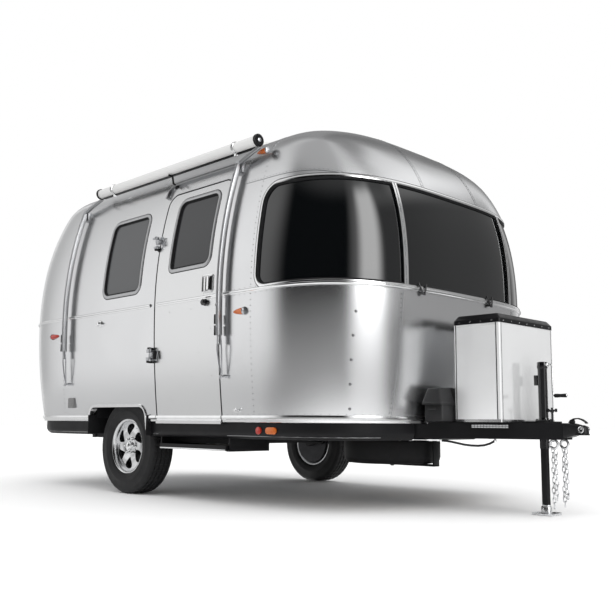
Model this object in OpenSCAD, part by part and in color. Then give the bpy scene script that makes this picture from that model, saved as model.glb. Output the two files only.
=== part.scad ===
// Single-axle travel caravan with a riveted aluminium shell.
// +X is the hitch, +Y the road side, +Z up. The floor it parks on is z = 0.

/* [Shell] */
// Width of the shell at the belt rail
shell_w = 2450; // [2000:10:3000]
// Length of the straight bay between the front and rear domes
bay_l = 2384; // [2000:4:3200]
// Length of the front dome at the belt rail
nose_l = 827; // [650:1:1000]
// Length of the rear dome at the belt rail
tail_l = 973; // [800:1:1200]
// Height of the shell's lower edge
sill_z = 548; // [500:1:600]
// Height at which the shell is widest
belt_z = 1400; // [1300:5:1500]
// Radius of the side wall above the belt
wall_r = 2880; // [2400:10:3500]
// Angle that the side wall turns through above the belt
wall_arc = 19.5; // [16:0.5:22]
// Radius of the shoulder between wall and roof
shoulder_r = 240; // [150:5:300]
// Angle from level at which the shoulder meets the crown of the roof
shoulder_arc = 73.8; // [68:0.1:78]
// Radius of the side wall below the belt
tuck_r = 6470; // [5000:10:9000]
// Thickness of walls, domes and roof
wall_t = 45; // [30:1:60]
// How much shorter the front dome is at the sill
nose_tuck = 60; // [20:5:120]
// How much shorter the rear dome is at the sill
tail_tuck = 150; // [50:5:200]

/* [Openings] */
// Distance from the bay's rear end to the door's rear edge
door_from_rear = 1316; // [1200:2:1500]
// Width of the entry door
door_w = 745; // [600:5:900]
// Height of the door's top edge
door_top_z = 2248; // [2150:2:2300]
// Gap round the door
door_gap = 5; // [4:0.5:8]
// Width of the window in the door
door_window_w = 445; // [300:5:480]
// Lower edge of the window in the door
door_window_z0 = 1640; // [1600:5:1700]
// Upper edge of the window in the door
door_window_z1 = 2165; // [2100:5:2175]
// Width of a side window
side_window_w = 490; // [380:5:560]
// Lower edge of a side window
side_window_z0 = 1530; // [1500:5:1600]
// Upper edge of a side window
side_window_z1 = 2130; // [2050:5:2170]
// Distance from the bay's rear end to the middle of the side window
side_window_from_rear = 854; // [700:2:900]
// Corner radius of the side windows
window_r = 60; // [30:5:100]
// Lower edge of the front windows
front_window_z0 = 1420; // [1420:5:1480]
// Upper edge of the front windows
front_window_z1 = 2104; // [2000:2:2150]
// Half distance between the outer edges of the two front pillars
pillar_y = 642; // [560:2:700]
// Width of a front pillar
pillar_w = 50; // [40:2:80]
// Lower edge of the rear window
rear_window_z0 = 1560; // [1500:5:1700]
// Upper edge of the rear window
rear_window_z1 = 2040; // [1950:5:2100]
// Thickness of the window panes
glass_t = 8; // [5:1:12]
// Height of the exterior storage hatch
hatch_h = 330; // [250:10:420]
// Width of the exterior storage hatch
hatch_w = 560; // [400:10:700]

/* [Running gear] */
// Distance from the bay's rear end to the wheel centres
axle_from_rear = 851; // [800:1:950]
// Outer radius of a tyre
tyre_r = 359; // [330:1:380]
// Width of a tyre
tyre_w = 215; // [185:5:235]
// Radius of the rim's flange
rim_r = 210; // [195:1:220]
// Distance between the two tyres' outer faces
track_outer = 2264; // [2200:2:2300]
// Radius of the wheel spindle
spindle_r = 20; // [16:1:25]
// Running clearance of a wheel on its spindle
bearing_gap = 0.05; // [0.02:0.01:0.1]
// Length of a trailing suspension arm
arm_l = 150; // [120:5:180]
// Side of the axle's square tube
axle_tube = 76; // [60:2:90]

/* [Chassis] */
// Height of the frame's top face
frame_top_z = 557; // [540:1:580]
// Depth of the frame members
frame_h = 100; // [80:5:120]
// Width of the frame members
frame_w = 50; // [40:5:60]
// Distance between the middles of the two main rails
rail_span = 1420; // [1300:10:1500]
// Half angle between the two hitch rails
hitch_angle = 25; // [20:1:28]
// Distance from the front dome to the tip of the coupler
hitch_l = 850; // [750:10:950]
// Radius of the ball socket in the coupler
socket_r = 25.4; // [23.8:0.1:29.4]
// Height of the lowest edge of the black belly skirt
skirt_z = 440; // [420:5:460]

/* [Hitch equipment] */
// Depth of the gas bottle cover, front to back
gas_cover_l = 337; // [300:1:400]
// Width of the gas bottle cover
gas_cover_w = 666; // [600:2:760]
// Height of the gas bottle cover without its lid
gas_cover_h = 610; // [500:5:700]
// Height of the lid
gas_lid_h = 60; // [40:2:80]
// Radius of the jack's outer tube
jack_r = 29; // [26:1:34]
// Height of the top of the jack
jack_top_z = 938; // [900:2:1000]
// How far the jack's leg can be wound up
jack_travel = 240; // [200:10:300]
// Side of the jack's foot plate
foot_w = 150; // [120:5:180]
// Radius of the wire of a safety chain's link
chain_wire_r = 3.6; // [3:0.1:5]

/* [Awning] */
// Radius of the rolled awning and its cover
roller_r = 38; // [30:1:50]
// Length of the awning roller
roller_l = 1969; // [1700:1:2200]
// Width of an awning arm
arm_w = 34; // [25:1:45]

/* [Hidden] */

// Overall layout along X, with the middle of the overall length at x = 0
total_l = tail_l + bay_l + nose_l + hitch_l;
tail_x = -total_l / 2;
bay_x0 = tail_x + tail_l;
bay_x1 = bay_x0 + bay_l;
nose_x = bay_x1 + nose_l;
tip_x = nose_x + hitch_l;
half_belt = shell_w / 2;

// Cross-section of the shell: tuck, wall, shoulder and crown arcs that meet smoothly
shoulder_cy = half_belt - wall_r + (wall_r - shoulder_r) * cos(wall_arc);
shoulder_cz = belt_z + (wall_r - shoulder_r) * sin(wall_arc);
wall_top_z = belt_z + wall_r * sin(wall_arc);
shoulder_top_z = shoulder_cz + shoulder_r * sin(shoulder_arc);
crown_r = shoulder_r + shoulder_cy / cos(shoulder_arc);
crown_cz = shoulder_cz - (crown_r - shoulder_r) * sin(shoulder_arc);
crown_z = crown_cz + crown_r;
dome_h = crown_z - belt_z;

// Shape of the domes: exponents of their side view and of their plan
nose_m = 2.69;
nose_n = 2.08;
tail_m = 3.0;
tail_n = 2.12;
plan_n = 3.17;

seat = 0.3;
cut = 40;

// Half width, and height, of the surface that lies d inside the shell, where the shell has height z
function skin_y(z, d = 0) =
    z <= belt_z ? half_belt - tuck_r + sqrt(pow(tuck_r - d, 2) - pow(z - belt_z, 2))
    : z <= wall_top_z ? half_belt - wall_r + (wall_r - d) * cos(asin((z - belt_z) / wall_r))
    : z <= shoulder_top_z ? shoulder_cy
        + (shoulder_r - d) * cos(asin(min(1, (z - shoulder_cz) / shoulder_r)))
    : (crown_r - d) * cos(asin(min(1, (z - crown_cz) / crown_r)));
function skin_z(z, d = 0) =
    z <= belt_z ? z
    : z <= wall_top_z ? z - d * (z - belt_z) / wall_r
    : z <= shoulder_top_z ? z - d * (z - shoulder_cz) / shoulder_r
    : z - d * (z - crown_cz) / crown_r;

// Length of a dome at height z, d inside the shell
function rise(z) = max(0, min(1, (z - belt_z) / dome_h));
function sink(z) = max(0, (belt_z - z) / (belt_z - sill_z));
function nose_reach(z, d = 0) =
    (nose_l - d) * pow(1 - pow(rise(z), nose_m), 1 / nose_n) - nose_tuck * pow(sink(z), 2);
function tail_reach(z, d = 0) =
    (tail_l - d) * pow(1 - pow(rise(z), tail_m), 1 / tail_n) - tail_tuck * pow(sink(z), 2);

// Plan of the shell at height z, at angle a from the centreline, d inside the shell
function squarish(v) = sign(v) * pow(abs(v), 2 / plan_n);
function nose_pt(z, a, d = 0) =
    [bay_x1 + nose_reach(z, d) * squarish(abs(cos(a))), skin_y(z, d) * squarish(sin(a))];
function tail_pt(z, a, d = 0) =
    [bay_x0 - tail_reach(z, d) * squarish(abs(cos(a))), skin_y(z, d) * squarish(sin(a))];
function plan(z, d = 0) = concat(
    [for (a = dome_angles) nose_pt(z, a, d)],
    [for (a = dome_angles) tail_pt(z, -a, d)]
);
// Front end of the shell on the line y, at height z
function nose_x_at(z, y) =
    bay_x1 + nose_reach(z) * pow(1 - pow(min(1, abs(y) / skin_y(z)), plan_n), 1 / plan_n);
function tail_x_at(z, y) =
    bay_x0 - tail_reach(z) * pow(1 - pow(min(1, abs(y) / skin_y(z)), plan_n), 1 / plan_n);
// Angle on the plan at which the shell passes the line y, at height z
function plan_angle(z, y) = asin(pow(y / skin_y(z), plan_n / 2));

// Heights of the shell's rows of facets
function steps(a, b, n) = [for (i = [1:n]) a + (b - a) * i / n];
shoulder_rows = [for (i = [1:6])
    shoulder_cz + shoulder_r * sin(wall_arc + (shoulder_arc - wall_arc) * i / 6)];
crown_rows = [for (i = [1:6])
    crown_cz + crown_r * sin(shoulder_arc + (90 - shoulder_arc) * (1 - pow(1 - i / 6, 1.3)))];
tuck_rows = 8;
window_rows = 5;
function wall_rows(z0, z1) = concat(
    [sill_z], steps(sill_z, belt_z, tuck_rows), steps(belt_z, z0, 1),
    steps(z0, z1, window_rows), steps(z1, wall_top_z, 5)
);
function dome_rows(z0, z1) = concat(wall_rows(z0, z1), shoulder_rows, crown_rows);
window_row0 = tuck_rows + 1;
window_row1 = window_row0 + window_rows;

// Solid between an outer and an inner grid of points, left open in the cells that lie in a hole.
// A hole is [first row, last row, first column, last column]. The last row may close to a point.
module grid_shell(outer, inner, holes = [], apex = false) {
    rows = len(outer) - 1;
    cols = len(outer[0]) - 1;
    half = (rows + 1) * (cols + 1);
    function at(i, j) = i * (cols + 1) + (apex && i == rows ? 0 : j);
    function in_hole(i, j) = len([for (h = holes)
        if (i >= h[0] && i < h[1] && j >= h[2] && j < h[3]) 1]) > 0;
    function solid_cell(i, j) = i >= 0 && i < rows && j >= 0 && j < cols && !in_hole(i, j);
    function edge(a, b) = [[a, b, b + half], [a, b + half, a + half]];
    pts = concat([for (r = outer) each r], [for (r = inner) each r]);
    faces = [for (i = [0:rows - 1]) for (j = [0:cols - 1]) if (solid_cell(i, j))
        let(a = at(i, j), b = at(i, j + 1), c = at(i + 1, j + 1), d = at(i + 1, j), tip = c == d)
        each concat(
            [[a, c, b], [a + half, b + half, c + half]],
            tip ? [] : [[a, d, c], [a + half, c + half, d + half]],
            solid_cell(i - 1, j) ? [] : edge(a, b),
            tip || solid_cell(i + 1, j) ? [] : edge(c, d),
            solid_cell(i, j - 1) ? [] : edge(d, a),
            solid_cell(i, j + 1) ? [] : edge(b, c)
        )];
    polyhedron(pts, faces, convexity = 6);
}

// Rows of points on a dome, front or rear, d inside the shell
function nose_grid(rows, angles, d) =
    [for (z = rows) [for (a = angles) concat(nose_pt(z, a, d), [skin_z(z, d)])]];
function tail_grid(rows, angles, d) =
    [for (z = rows) [for (a = angles) concat(tail_pt(z, -a, d), [skin_z(z, d)])]];
pillar_mid_z = (front_window_z0 + front_window_z1) / 2;
pillar_out = plan_angle(pillar_mid_z, pillar_y);
pillar_in = plan_angle(pillar_mid_z, pillar_y - pillar_w);
corner_out = 88.8;
half_angles = concat(
    [corner_out], steps(corner_out, pillar_out, 9), [pillar_in], steps(pillar_in, 0, 3)
);
dome_angles = concat(
    [-90], [for (a = half_angles) -a], [for (i = [1:len(half_angles) - 1])
        half_angles[len(half_angles) - 1 - i]], [90]
);
corner_cols = [1, 10];
centre_cols = [11, 17];
last_col = len(dome_angles) - 1;

// A straight strip of the shell between two heights, over length l from x0
function strip(z0, z1, n, d0, d1) = concat(
    [for (z = concat([z0], steps(z0, z1, n))) [skin_y(z, d0), skin_z(z, d0)]],
    [for (z = concat([z1], steps(z1, z0, n))) [skin_y(z, d1), skin_z(z, d1)]]
);
module bay_strip(x0, l, profile) {
    translate([x0, 0, 0]) rotate([90, 0, 90]) linear_extrude(l) polygon(profile);
}
module on_side(side) { if (side > 0) children(); else mirror([0, 1, 0]) children(); }

// Upright box from corner a to corner b
module block(a, b) { translate(a) cube(b - a); }
module rod_y(r, y0, y1, fn = 32) {
    translate([0, y0, 0]) rotate([-90, 0, 0]) cylinder(r = r, h = y1 - y0, $fn = fn);
}
module rod_x(r, x0, x1, fn = 32) {
    translate([x0, 0, 0]) rotate([0, 90, 0]) cylinder(r = r, h = x1 - x0, $fn = fn);
}
// Prism through a side wall with rounded corners, x0 to x1 and z0 to z1
module wall_prism(x0, x1, z0, z1, r, y0, y1) {
    translate([0, y1, 0]) rotate([90, 0, 0]) linear_extrude(y1 - y0) {
        translate([x0 + r, z0]) square([x1 - x0 - 2 * r, z1 - z0]);
        translate([x0, z0 + r]) square([x1 - x0, z1 - z0 - 2 * r]);
        for (x = [x0 + r, x1 - r]) for (z = [z0 + r, z1 - r])
            translate([x, z]) circle(r = r, $fn = 48);
    }
}

// ---- Chassis ----
frame_z0 = frame_top_z - frame_h;
rail_y = rail_span / 2;
axle_x = bay_x0 + axle_from_rear;
apex_x = tip_x - 67;
jack_x = tip_x - 291;
door_x0 = bay_x0 + door_from_rear;
door_x1 = door_x0 + door_w;
frame_x0 = tail_x_at(sill_z, rail_y + frame_w) + 60;
frame_x1 = nose_x_at(sill_z, rail_y + frame_w) - 115;
under_shell_z = sill_z - 1 - seat;
hitch_rail_end = tip_x - 135;
hitch_rear_y = rail_y - frame_w / 2 - seat;
hitch_rear_x = apex_x - hitch_rear_y / tan(hitch_angle);
skirt_d = 15;
skirt_t = 10;
outrigger_y = skin_y(sill_z) - skirt_d - skirt_t - seat;
outrigger_h = 60;
step_z0 = 362;
step_h = 30;
step_gap = 6;
hanger_t = 12;
hanger_y0 = 760;
ledge_w = 22;
step_y1 = 1118;
step_x0 = door_x0 - step_gap - hanger_t;
step_x1 = door_x1 + step_gap;
member_w = 40;
spare_x = hitch_rear_x + 37;
carrier_l = 780;

// Stabiliser legs
leg_l = 385;
leg_w = 32;
leg_h = 34;
leg_pivot_x = frame_x0 + 430;
leg_pivot_z = frame_z0 - 36;
pin_r = 8;
pin_gap = 0.05;
ear_t = 8;

module leg_ears(y) {
    for (s = [-1, 1]) {
        y0 = y + s * (leg_w / 2 + 1) - (s < 0 ? ear_t : 0);
        block([leg_pivot_x - 25, y0, leg_pivot_z - 18], [leg_pivot_x + 25, y0 + ear_t, frame_z0 + 2]);
    }
    translate([leg_pivot_x, 0, leg_pivot_z])
        rod_y(pin_r, y - leg_w / 2 - 1 - ear_t, y + leg_w / 2 + 1 + ear_t);
}
module step_hanger(x0, ledge) {
    block([x0, -step_y1, step_z0 - 10], [x0 + hanger_t, -hanger_y0, under_shell_z - 1]);
    block([min(x0, x0 + ledge), -step_y1, step_z0 - 10],
        [max(x0, x0 + ledge) + hanger_t, -hanger_y0, step_z0 - seat]);
}
module main_frame() {
    color("#202022") {
        for (s = [-1, 1]) {
            block([frame_x0, s * rail_y - frame_w / 2, frame_z0],
                [frame_x1, s * rail_y + frame_w / 2, frame_top_z]);
            leg_ears(s * rail_y);
        }
        for (x = [frame_x0, bay_x0, axle_x - 480, axle_x + 520, spare_x - carrier_l / 2])
            block([x, -rail_y, frame_z0 + 20], [x + member_w, rail_y, frame_top_z]);
        for (x = [bay_x0, step_x0, step_x1, bay_x1 - hanger_t]) for (s = [-1, 1]) {
            y0 = min(s * rail_y, s * outrigger_y);
            block([x, y0, under_shell_z - outrigger_h],
                [x + hanger_t, y0 + outrigger_y - rail_y, under_shell_z]);
        }
        step_hanger(step_x0, ledge_w);
        step_hanger(step_x1, -ledge_w);
    }
}

deck_t = 3;
gas_x0 = nose_x + 122;
gas_x1 = gas_x0 + gas_cover_l;
battery_x0 = nose_x - 23;
battery_l = 138;
battery_y0 = -455;
battery_w = 305;
battery_lip = 5;
function hitch_y(x) = (apex_x - x) * tan(hitch_angle);
carrier_x1 = spare_x + carrier_l / 2;
module hitch_rail() {
    intersection() {
        translate([apex_x, 0, frame_z0]) rotate([0, 0, 180 + hitch_angle])
            translate([0, -frame_w / 2, 0]) cube([hitch_rear_y / sin(hitch_angle), frame_w, frame_h]);
        block([hitch_rear_x, -hitch_rear_y, 0], [hitch_rail_end, -1, frame_top_z + 1]);
    }
}
jack_plate_l = 130;
jack_plate_w = 216;
jack_plate_t = 10;
module hitch_frame() {
    color("#202022") difference() {
        union() {
            hitch_rail();
            mirror([0, 1, 0]) hitch_rail();
            block([gas_x0, -gas_cover_w / 2, frame_top_z - 1],
                [gas_x1, gas_cover_w / 2, frame_top_z + deck_t]);
            block([battery_x0, battery_y0, frame_top_z - 1],
                [battery_x0 + battery_l, battery_y0 + battery_w, frame_top_z + deck_t]);
            block([carrier_x1 - member_w, -hitch_y(carrier_x1), frame_z0 + 20],
                [carrier_x1, hitch_y(carrier_x1), frame_top_z - 20]);
            block([jack_x - jack_plate_l / 2, -jack_plate_w / 2, frame_top_z - 1],
                [jack_x + jack_plate_l / 2, jack_plate_w / 2, frame_top_z + jack_plate_t]);
        }
        block([hitch_rear_x - 1, -hitch_rear_y - 1, under_shell_z],
            [nose_x - 30, hitch_rear_y + 1, frame_top_z + 1]);
        translate([jack_x, 0, frame_top_z - 2])
            cylinder(r = jack_r + seat, h = jack_plate_t + 3, $fn = 48);
    }
}

// ---- Coupler and jack ----
coupler_r = 42;
socket_x = tip_x - coupler_r;
coupler_z0 = 485;
coupler_z1 = 540;
socket_depth = 38;
module coupler() {
    color("#2a2a2c") difference() {
        union() {
            block([hitch_rail_end + seat, -62, coupler_z0 - 14],
                [hitch_rail_end + 48, 62, frame_top_z - 4]);
            block([hitch_rail_end + 40, -coupler_r, coupler_z0], [socket_x, coupler_r, coupler_z1]);
            translate([socket_x, 0, coupler_z0])
                cylinder(r = coupler_r, h = coupler_z1 - coupler_z0, $fn = 48);
        }
        translate([socket_x, 0, coupler_z0 - 1]) cylinder(r = socket_r, h = socket_depth + 1, $fn = 48);
    }
}
module coupler_latch() {
    color("#3a3a3c") {
        block([socket_x - 44, -14, coupler_z1 + seat], [socket_x - 20, 14, coupler_z1 + 24]);
        block([socket_x - 40, -12, coupler_z1 + 14], [socket_x + 34, 12, coupler_z1 + 24]);
        translate([socket_x + 34, 0, coupler_z1 + 19]) rod_y(9, -20, 20);
    }
}
leg_r = 25.5;
jack_z0 = 400;
jack_cap_h = 38;
leg_top_z = jack_top_z - jack_cap_h - 20 - jack_travel;
module jack_tube() {
    color("#1b1b1d") translate([jack_x, 0, 0]) {
        difference() {
            union() {
                translate([0, 0, jack_z0]) cylinder(r = jack_r, h = jack_top_z - jack_z0 - 5, $fn = 48);
                translate([0, 0, frame_top_z + jack_plate_t + seat]) cylinder(r = 52, h = 8, $fn = 48);
                translate([0, 0, jack_top_z - jack_cap_h])
                    cylinder(r = jack_r + 4, h = jack_cap_h, $fn = 48);
            }
            translate([0, 0, jack_z0 - 1])
                cylinder(r = leg_r + bearing_gap, h = leg_top_z + jack_travel + 10 - jack_z0, $fn = 48);
        }
    }
}
crank_x = jack_x + 66;
crank_grip_z = 725;
module jack_crank() {
    color("#b9bcc0") {
        translate([0, 0, jack_top_z - 19])
            rod_x(7, jack_x + jack_r + 4 + seat, crank_x + 7);
        translate([crank_x, 0, crank_grip_z - 10])
            cylinder(r = 6, h = jack_top_z - 12 - crank_grip_z, $fn = 24);
        translate([0, 0, crank_grip_z]) rod_x(11, crank_x - 6, crank_x + 95);
    }
}
foot_t = 8;
module jack_leg() {
    color("#2a2a2c") translate([jack_x, 0, 0]) {
        translate([-foot_w / 2, -foot_w / 2, 0]) cube([foot_w, foot_w, foot_t]);
        translate([0, 0, foot_t / 2]) cylinder(r = leg_r, h = leg_top_z - foot_t / 2, $fn = 48);
    }
}

// ---- Safety chains ----
chain_x = jack_x + foot_w / 2 + 24;
chain_y = 66;
ring_r = 24;
bow_r = 9.2;
link_pitch = 30;
chain_links = 12;
module half_bow(r, wire) {
    rotate([90, 0, 0]) rotate_extrude(angle = 180, $fn = 32) translate([r, 0]) circle(r = wire, $fn = 16);
}
module link(wire) {
    straight = link_pitch + seat - 2 * (bow_r - wire);
    for (s = [0, 180]) rotate([0, s, 0]) translate([0, 0, straight / 2]) half_bow(bow_r, wire);
    for (s = [-1, 1]) translate([s * bow_r, 0, -straight / 2])
        cylinder(r = wire, h = straight, $fn = 16);
}
module chain(y) {
    translate([chain_x, y, frame_z0 - ring_r - chain_wire_r - seat]) rotate([0, 0, 90])
        rotate([90, 0, 0]) rotate_extrude($fn = 40)
            translate([ring_r, 0]) circle(r = chain_wire_r, $fn = 16);
    top = frame_z0 - 2 * ring_r - link_pitch / 2 - 2 * seat;
    for (i = [0:chain_links - 1])
        translate([chain_x, y, top - i * link_pitch])
            rotate([0, 0, i % 2 == 0 ? 0 : 90]) link(chain_wire_r);
}
module safety_chains() { color("#c9ccd0") for (s = [-1, 1]) chain(s * chain_y); }

// ---- Gas bottle cover, batteries, gas line ----
cover_t = 10;
gas_z0 = frame_top_z + deck_t + seat;
gas_z1 = gas_z0 + gas_cover_h;
knuckle_r = 7;
hinge_pin_r = 3;
gas_hinge_x = gas_x0 - knuckle_r - 1;
module gas_knuckle(y0, y1, bore) {
    translate([gas_hinge_x, 0, gas_z1]) difference() {
        rod_y(knuckle_r, y0, y1);
        if (bore) rod_y(hinge_pin_r + bearing_gap, y0 - 1, y1 + 1);
    }
}
module gas_cover() {
    color("#e6e8ea") {
        difference() {
            block([gas_x0, -gas_cover_w / 2, gas_z0], [gas_x1, gas_cover_w / 2, gas_z1]);
            block([gas_x0 + cover_t, -gas_cover_w / 2 + cover_t, gas_z0 + cover_t],
                [gas_x1 - cover_t, gas_cover_w / 2 - cover_t, gas_z1 + 1]);
        }
        for (s = [-1, 1]) {
            gas_knuckle(s * 250 - 40, s * 250 + 40, false);
            block([gas_hinge_x, s * 250 - 40, gas_z1 - knuckle_r], [gas_x0 + 1, s * 250 + 40, gas_z1 - 2]);
            translate([gas_hinge_x, 0, gas_z1])
                rod_y(hinge_pin_r, s * 200 - 45, s * 200 + 45);
        }
    }
}
module gas_cover_lid() {
    color("#1a1a1c") {
        difference() {
            block([gas_x0, -gas_cover_w / 2, gas_z1 + seat], [gas_x1, gas_cover_w / 2, gas_z1 + gas_lid_h]);
            block([gas_x0 + cover_t, -gas_cover_w / 2 + cover_t, gas_z1 - 1],
                [gas_x1 - cover_t, gas_cover_w / 2 - cover_t, gas_z1 + gas_lid_h - cover_t]);
        }
        for (s = [-1, 1]) difference() {
            union() {
                gas_knuckle(s * 182 - 26, s * 182 + 26, false);
                block([gas_hinge_x, s * 182 - 26, gas_z1 + 2],
                    [gas_x0 + 1, s * 182 + 26, gas_z1 + knuckle_r]);
            }
            translate([gas_hinge_x, 0, gas_z1])
                rod_y(hinge_pin_r + bearing_gap, s * 182 - 40, s * 182 + 40);
        }
    }
}
battery_z0 = frame_top_z + deck_t + seat;
battery_h = 165;
battery_lid_h = 48;
module battery_box() {
    color("#19191b") {
        block([battery_x0, battery_y0, battery_z0],
            [battery_x0 + battery_l, battery_y0 + battery_w, battery_z0 + battery_h]);
        block([battery_x0 - battery_lip, battery_y0 - 4 * battery_lip, battery_z0 + battery_h],
            [battery_x0 + battery_l + battery_lip, battery_y0 + battery_w + battery_lip,
                battery_z0 + battery_h + battery_lid_h]);
    }
}
// Route of the hose that sags under the hitch rail
hose_r = 7;
hose_route = [
    [1702, -350, 442], [1730, -337, 440], [1760, -324, 435], [1795, -308, 427], [1830, -292, 419],
    [1870, -273, 414], [1910, -255, 413], [1945, -239, 417], [1975, -226, 427], [1994, -217, 438],
    [2004, -212, 447]
];
pipe_z = 446;
hose_end_x = 2006;
fitting_r = 10.5;
pipe_r = 5;
module swept_tube(route, r, sides) {
    n = len(route) - 1;
    function along(i) = route[min(i + 1, n)] - route[max(i - 1, 0)];
    function unit(v) = v / norm(v);
    function ring(i) = let(t = unit(along(i)), u = unit(cross(t, [0, 1, 0])), w = cross(t, u))
        [for (k = [0:sides - 1]) route[i] + r * (u * cos(360 * k / sides) + w * sin(360 * k / sides))];
    polyhedron(
        [for (i = [0:n]) each ring(i)],
        concat(
            [[for (k = [0:sides - 1]) k]],
            [[for (k = [sides - 1:-1:0]) n * sides + k]],
            [for (i = [0:n - 1]) for (k = [0:sides - 1]) let(m = (k + 1) % sides) each [
                [i * sides + k, (i + 1) * sides + k, (i + 1) * sides + m],
                [i * sides + k, (i + 1) * sides + m, i * sides + m]]]
        ), convexity = 6);
}
module along_rail(x0, x1, r) {
    translate([x0, -hitch_y(x0), pipe_z]) rotate([0, 0, hitch_angle])
        rod_x(r, 0, (x1 - x0) / cos(hitch_angle), 24);
}
module gas_line() {
    color("#161618") swept_tube(hose_route, hose_r, 10);
    color("#c8a860") {
        along_rail(1240, 1640, pipe_r);
        along_rail(1430, 1540, fitting_r);
        along_rail(1612, 1700, fitting_r);
        translate([hose_end_x, -hitch_y(hose_end_x), pipe_z - 12])
            cylinder(r = fitting_r, h = frame_z0 - seat - pipe_z + 12, $fn = 24);
    }
}

// ---- Axle and wheels ----
tube_z = frame_z0 - 15 - axle_tube / 2;
arm_drop = tube_z - tyre_r;
arm_run = sqrt(arm_l * arm_l - arm_drop * arm_drop);
tube_x = axle_x + arm_run;
wheel_y = track_outer / 2 - tyre_w / 2;
arm_t = 28;
arm_head_r = 58;
drum_w = 50;
drum_y = wheel_y - tyre_w / 2 - 6;
arm_y = drum_y - 8 - arm_t;
spindle_end_y = wheel_y + 30;
module suspension_arm() {
    translate([axle_x, arm_y + arm_t, tyre_r]) rotate([90, 0, 0]) linear_extrude(arm_t)
        rotate(asin(arm_drop / arm_l)) {
            circle(r = 34, $fn = 48);
            translate([arm_l, 0]) circle(r = arm_head_r, $fn = 64);
            polygon([[0, -30], [arm_l, -36], [arm_l, 36], [0, 30]]);
        }
    translate([axle_x, 0, tyre_r]) rod_y(spindle_r, arm_y, spindle_end_y, 48);
}
module axle() {
    color("#252527") {
        block([tube_x - axle_tube / 2, -arm_y - 1, tube_z - axle_tube / 2],
            [tube_x + axle_tube / 2, arm_y + 1, tube_z + axle_tube / 2]);
        for (s = [-1, 1]) {
            block([tube_x - 70, s * rail_y - frame_w / 2 + 4, tube_z + axle_tube / 2 - 1],
                [tube_x + 70, s * rail_y + frame_w / 2 - 4, frame_z0 - seat]);
            on_side(s) suspension_arm();
        }
    }
}
rim_w = 176;
rim_t = 8;
bead_w = 164;
rim_seat_r = rim_r - 8;
hub_r = 62;
spoke_t = 26;
module rim() {
    rotate([-90, 0, 0]) {
        difference() {
            union() {
                rotate_extrude($fn = 96) polygon([
                    [rim_seat_r - rim_t, -rim_w / 2], [rim_r, -rim_w / 2], [rim_r, -bead_w / 2 - 1],
                    [rim_seat_r, -bead_w / 2 - 1], [rim_seat_r, bead_w / 2 + 1], [rim_r, bead_w / 2 + 1],
                    [rim_r, rim_w / 2], [rim_seat_r - rim_t, rim_w / 2]
                ]);
                translate([0, 0, drum_y - wheel_y]) cylinder(r = 152, h = drum_w, $fn = 64);
                translate([0, 0, drum_y - wheel_y])
                    cylinder(r = hub_r, h = wheel_y - drum_y + 66, $fn = 64);
                translate([0, 0, 60]) cylinder(r = 34, h = 20, $fn = 48);
                for (i = [0:5]) rotate([0, 0, 60 * i])
                    translate([hub_r - 12, -27, 66 - spoke_t]) cube([rim_seat_r - hub_r + 8, 54, spoke_t]);
            }
            translate([0, 0, drum_y - wheel_y - 1])
                cylinder(r = spindle_r + bearing_gap, h = spindle_end_y - drum_y + 2, $fn = 48);
        }
    }
}
shoulder_w = tyre_w / 2;
module tyre(r, w, seat_r) {
    rotate([-90, 0, 0]) rotate_extrude($fn = 96) polygon([
        [seat_r, -bead_w / 2], [seat_r + 12, -bead_w / 2], [seat_r + 32, -w / 2 + 4],
        [seat_r + 62, -w / 2], [r - 40, -w / 2 + 3], [r - 14, -w / 2 + 12], [r, -w / 2 + 26],
        [r, w / 2 - 26], [r - 14, w / 2 - 12], [r - 40, w / 2 - 3], [seat_r + 62, w / 2],
        [seat_r + 32, w / 2 - 4], [seat_r + 12, bead_w / 2], [seat_r, bead_w / 2]
    ]);
}
module at_wheel(side) { on_side(side) translate([axle_x, wheel_y, tyre_r]) children(); }
module wheel_right_rim() { color("#c4c7ca") at_wheel(-1) rim(); }
module wheel_left_rim() { color("#c4c7ca") at_wheel(1) rim(); }
module wheel_right_tyre() { color("#1c1c1e") at_wheel(-1) tyre(tyre_r, tyre_w, rim_seat_r + 0.2); }
module wheel_left_tyre() { color("#1c1c1e") at_wheel(1) tyre(tyre_r, tyre_w, rim_seat_r + 0.2); }

spare_r = 345;
spare_w = 178;
spare_z = frame_z0 - 10 - spare_w / 2;
carrier_w = 60;
module spare_wheel() {
    color("#141416") {
        translate([spare_x, 0, spare_z]) rotate([90, 0, 0]) tyre(spare_r, spare_w, rim_seat_r);
        translate([spare_x, 0, spare_z - 40]) cylinder(r = rim_seat_r + 1, h = 30, $fn = 64);
        block([spare_x - carrier_l / 2, -carrier_w / 2, spare_z - spare_w / 2 - 14],
            [carrier_x1, carrier_w / 2, spare_z - spare_w / 2 + 1]);
        translate([spare_x, 0, spare_z - spare_w / 2 - 2])
            cylinder(r = 16, h = spare_w / 2 + 40, $fn = 32);
        for (s = [-1, 1])
            block([spare_x + s * (carrier_l / 2 - 6) - 6, -carrier_w / 2, spare_z - spare_w / 2 - 14],
                [spare_x + s * (carrier_l / 2 - 6) + 6, carrier_w / 2, frame_z0 + 20 - seat]);
    }
}

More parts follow.
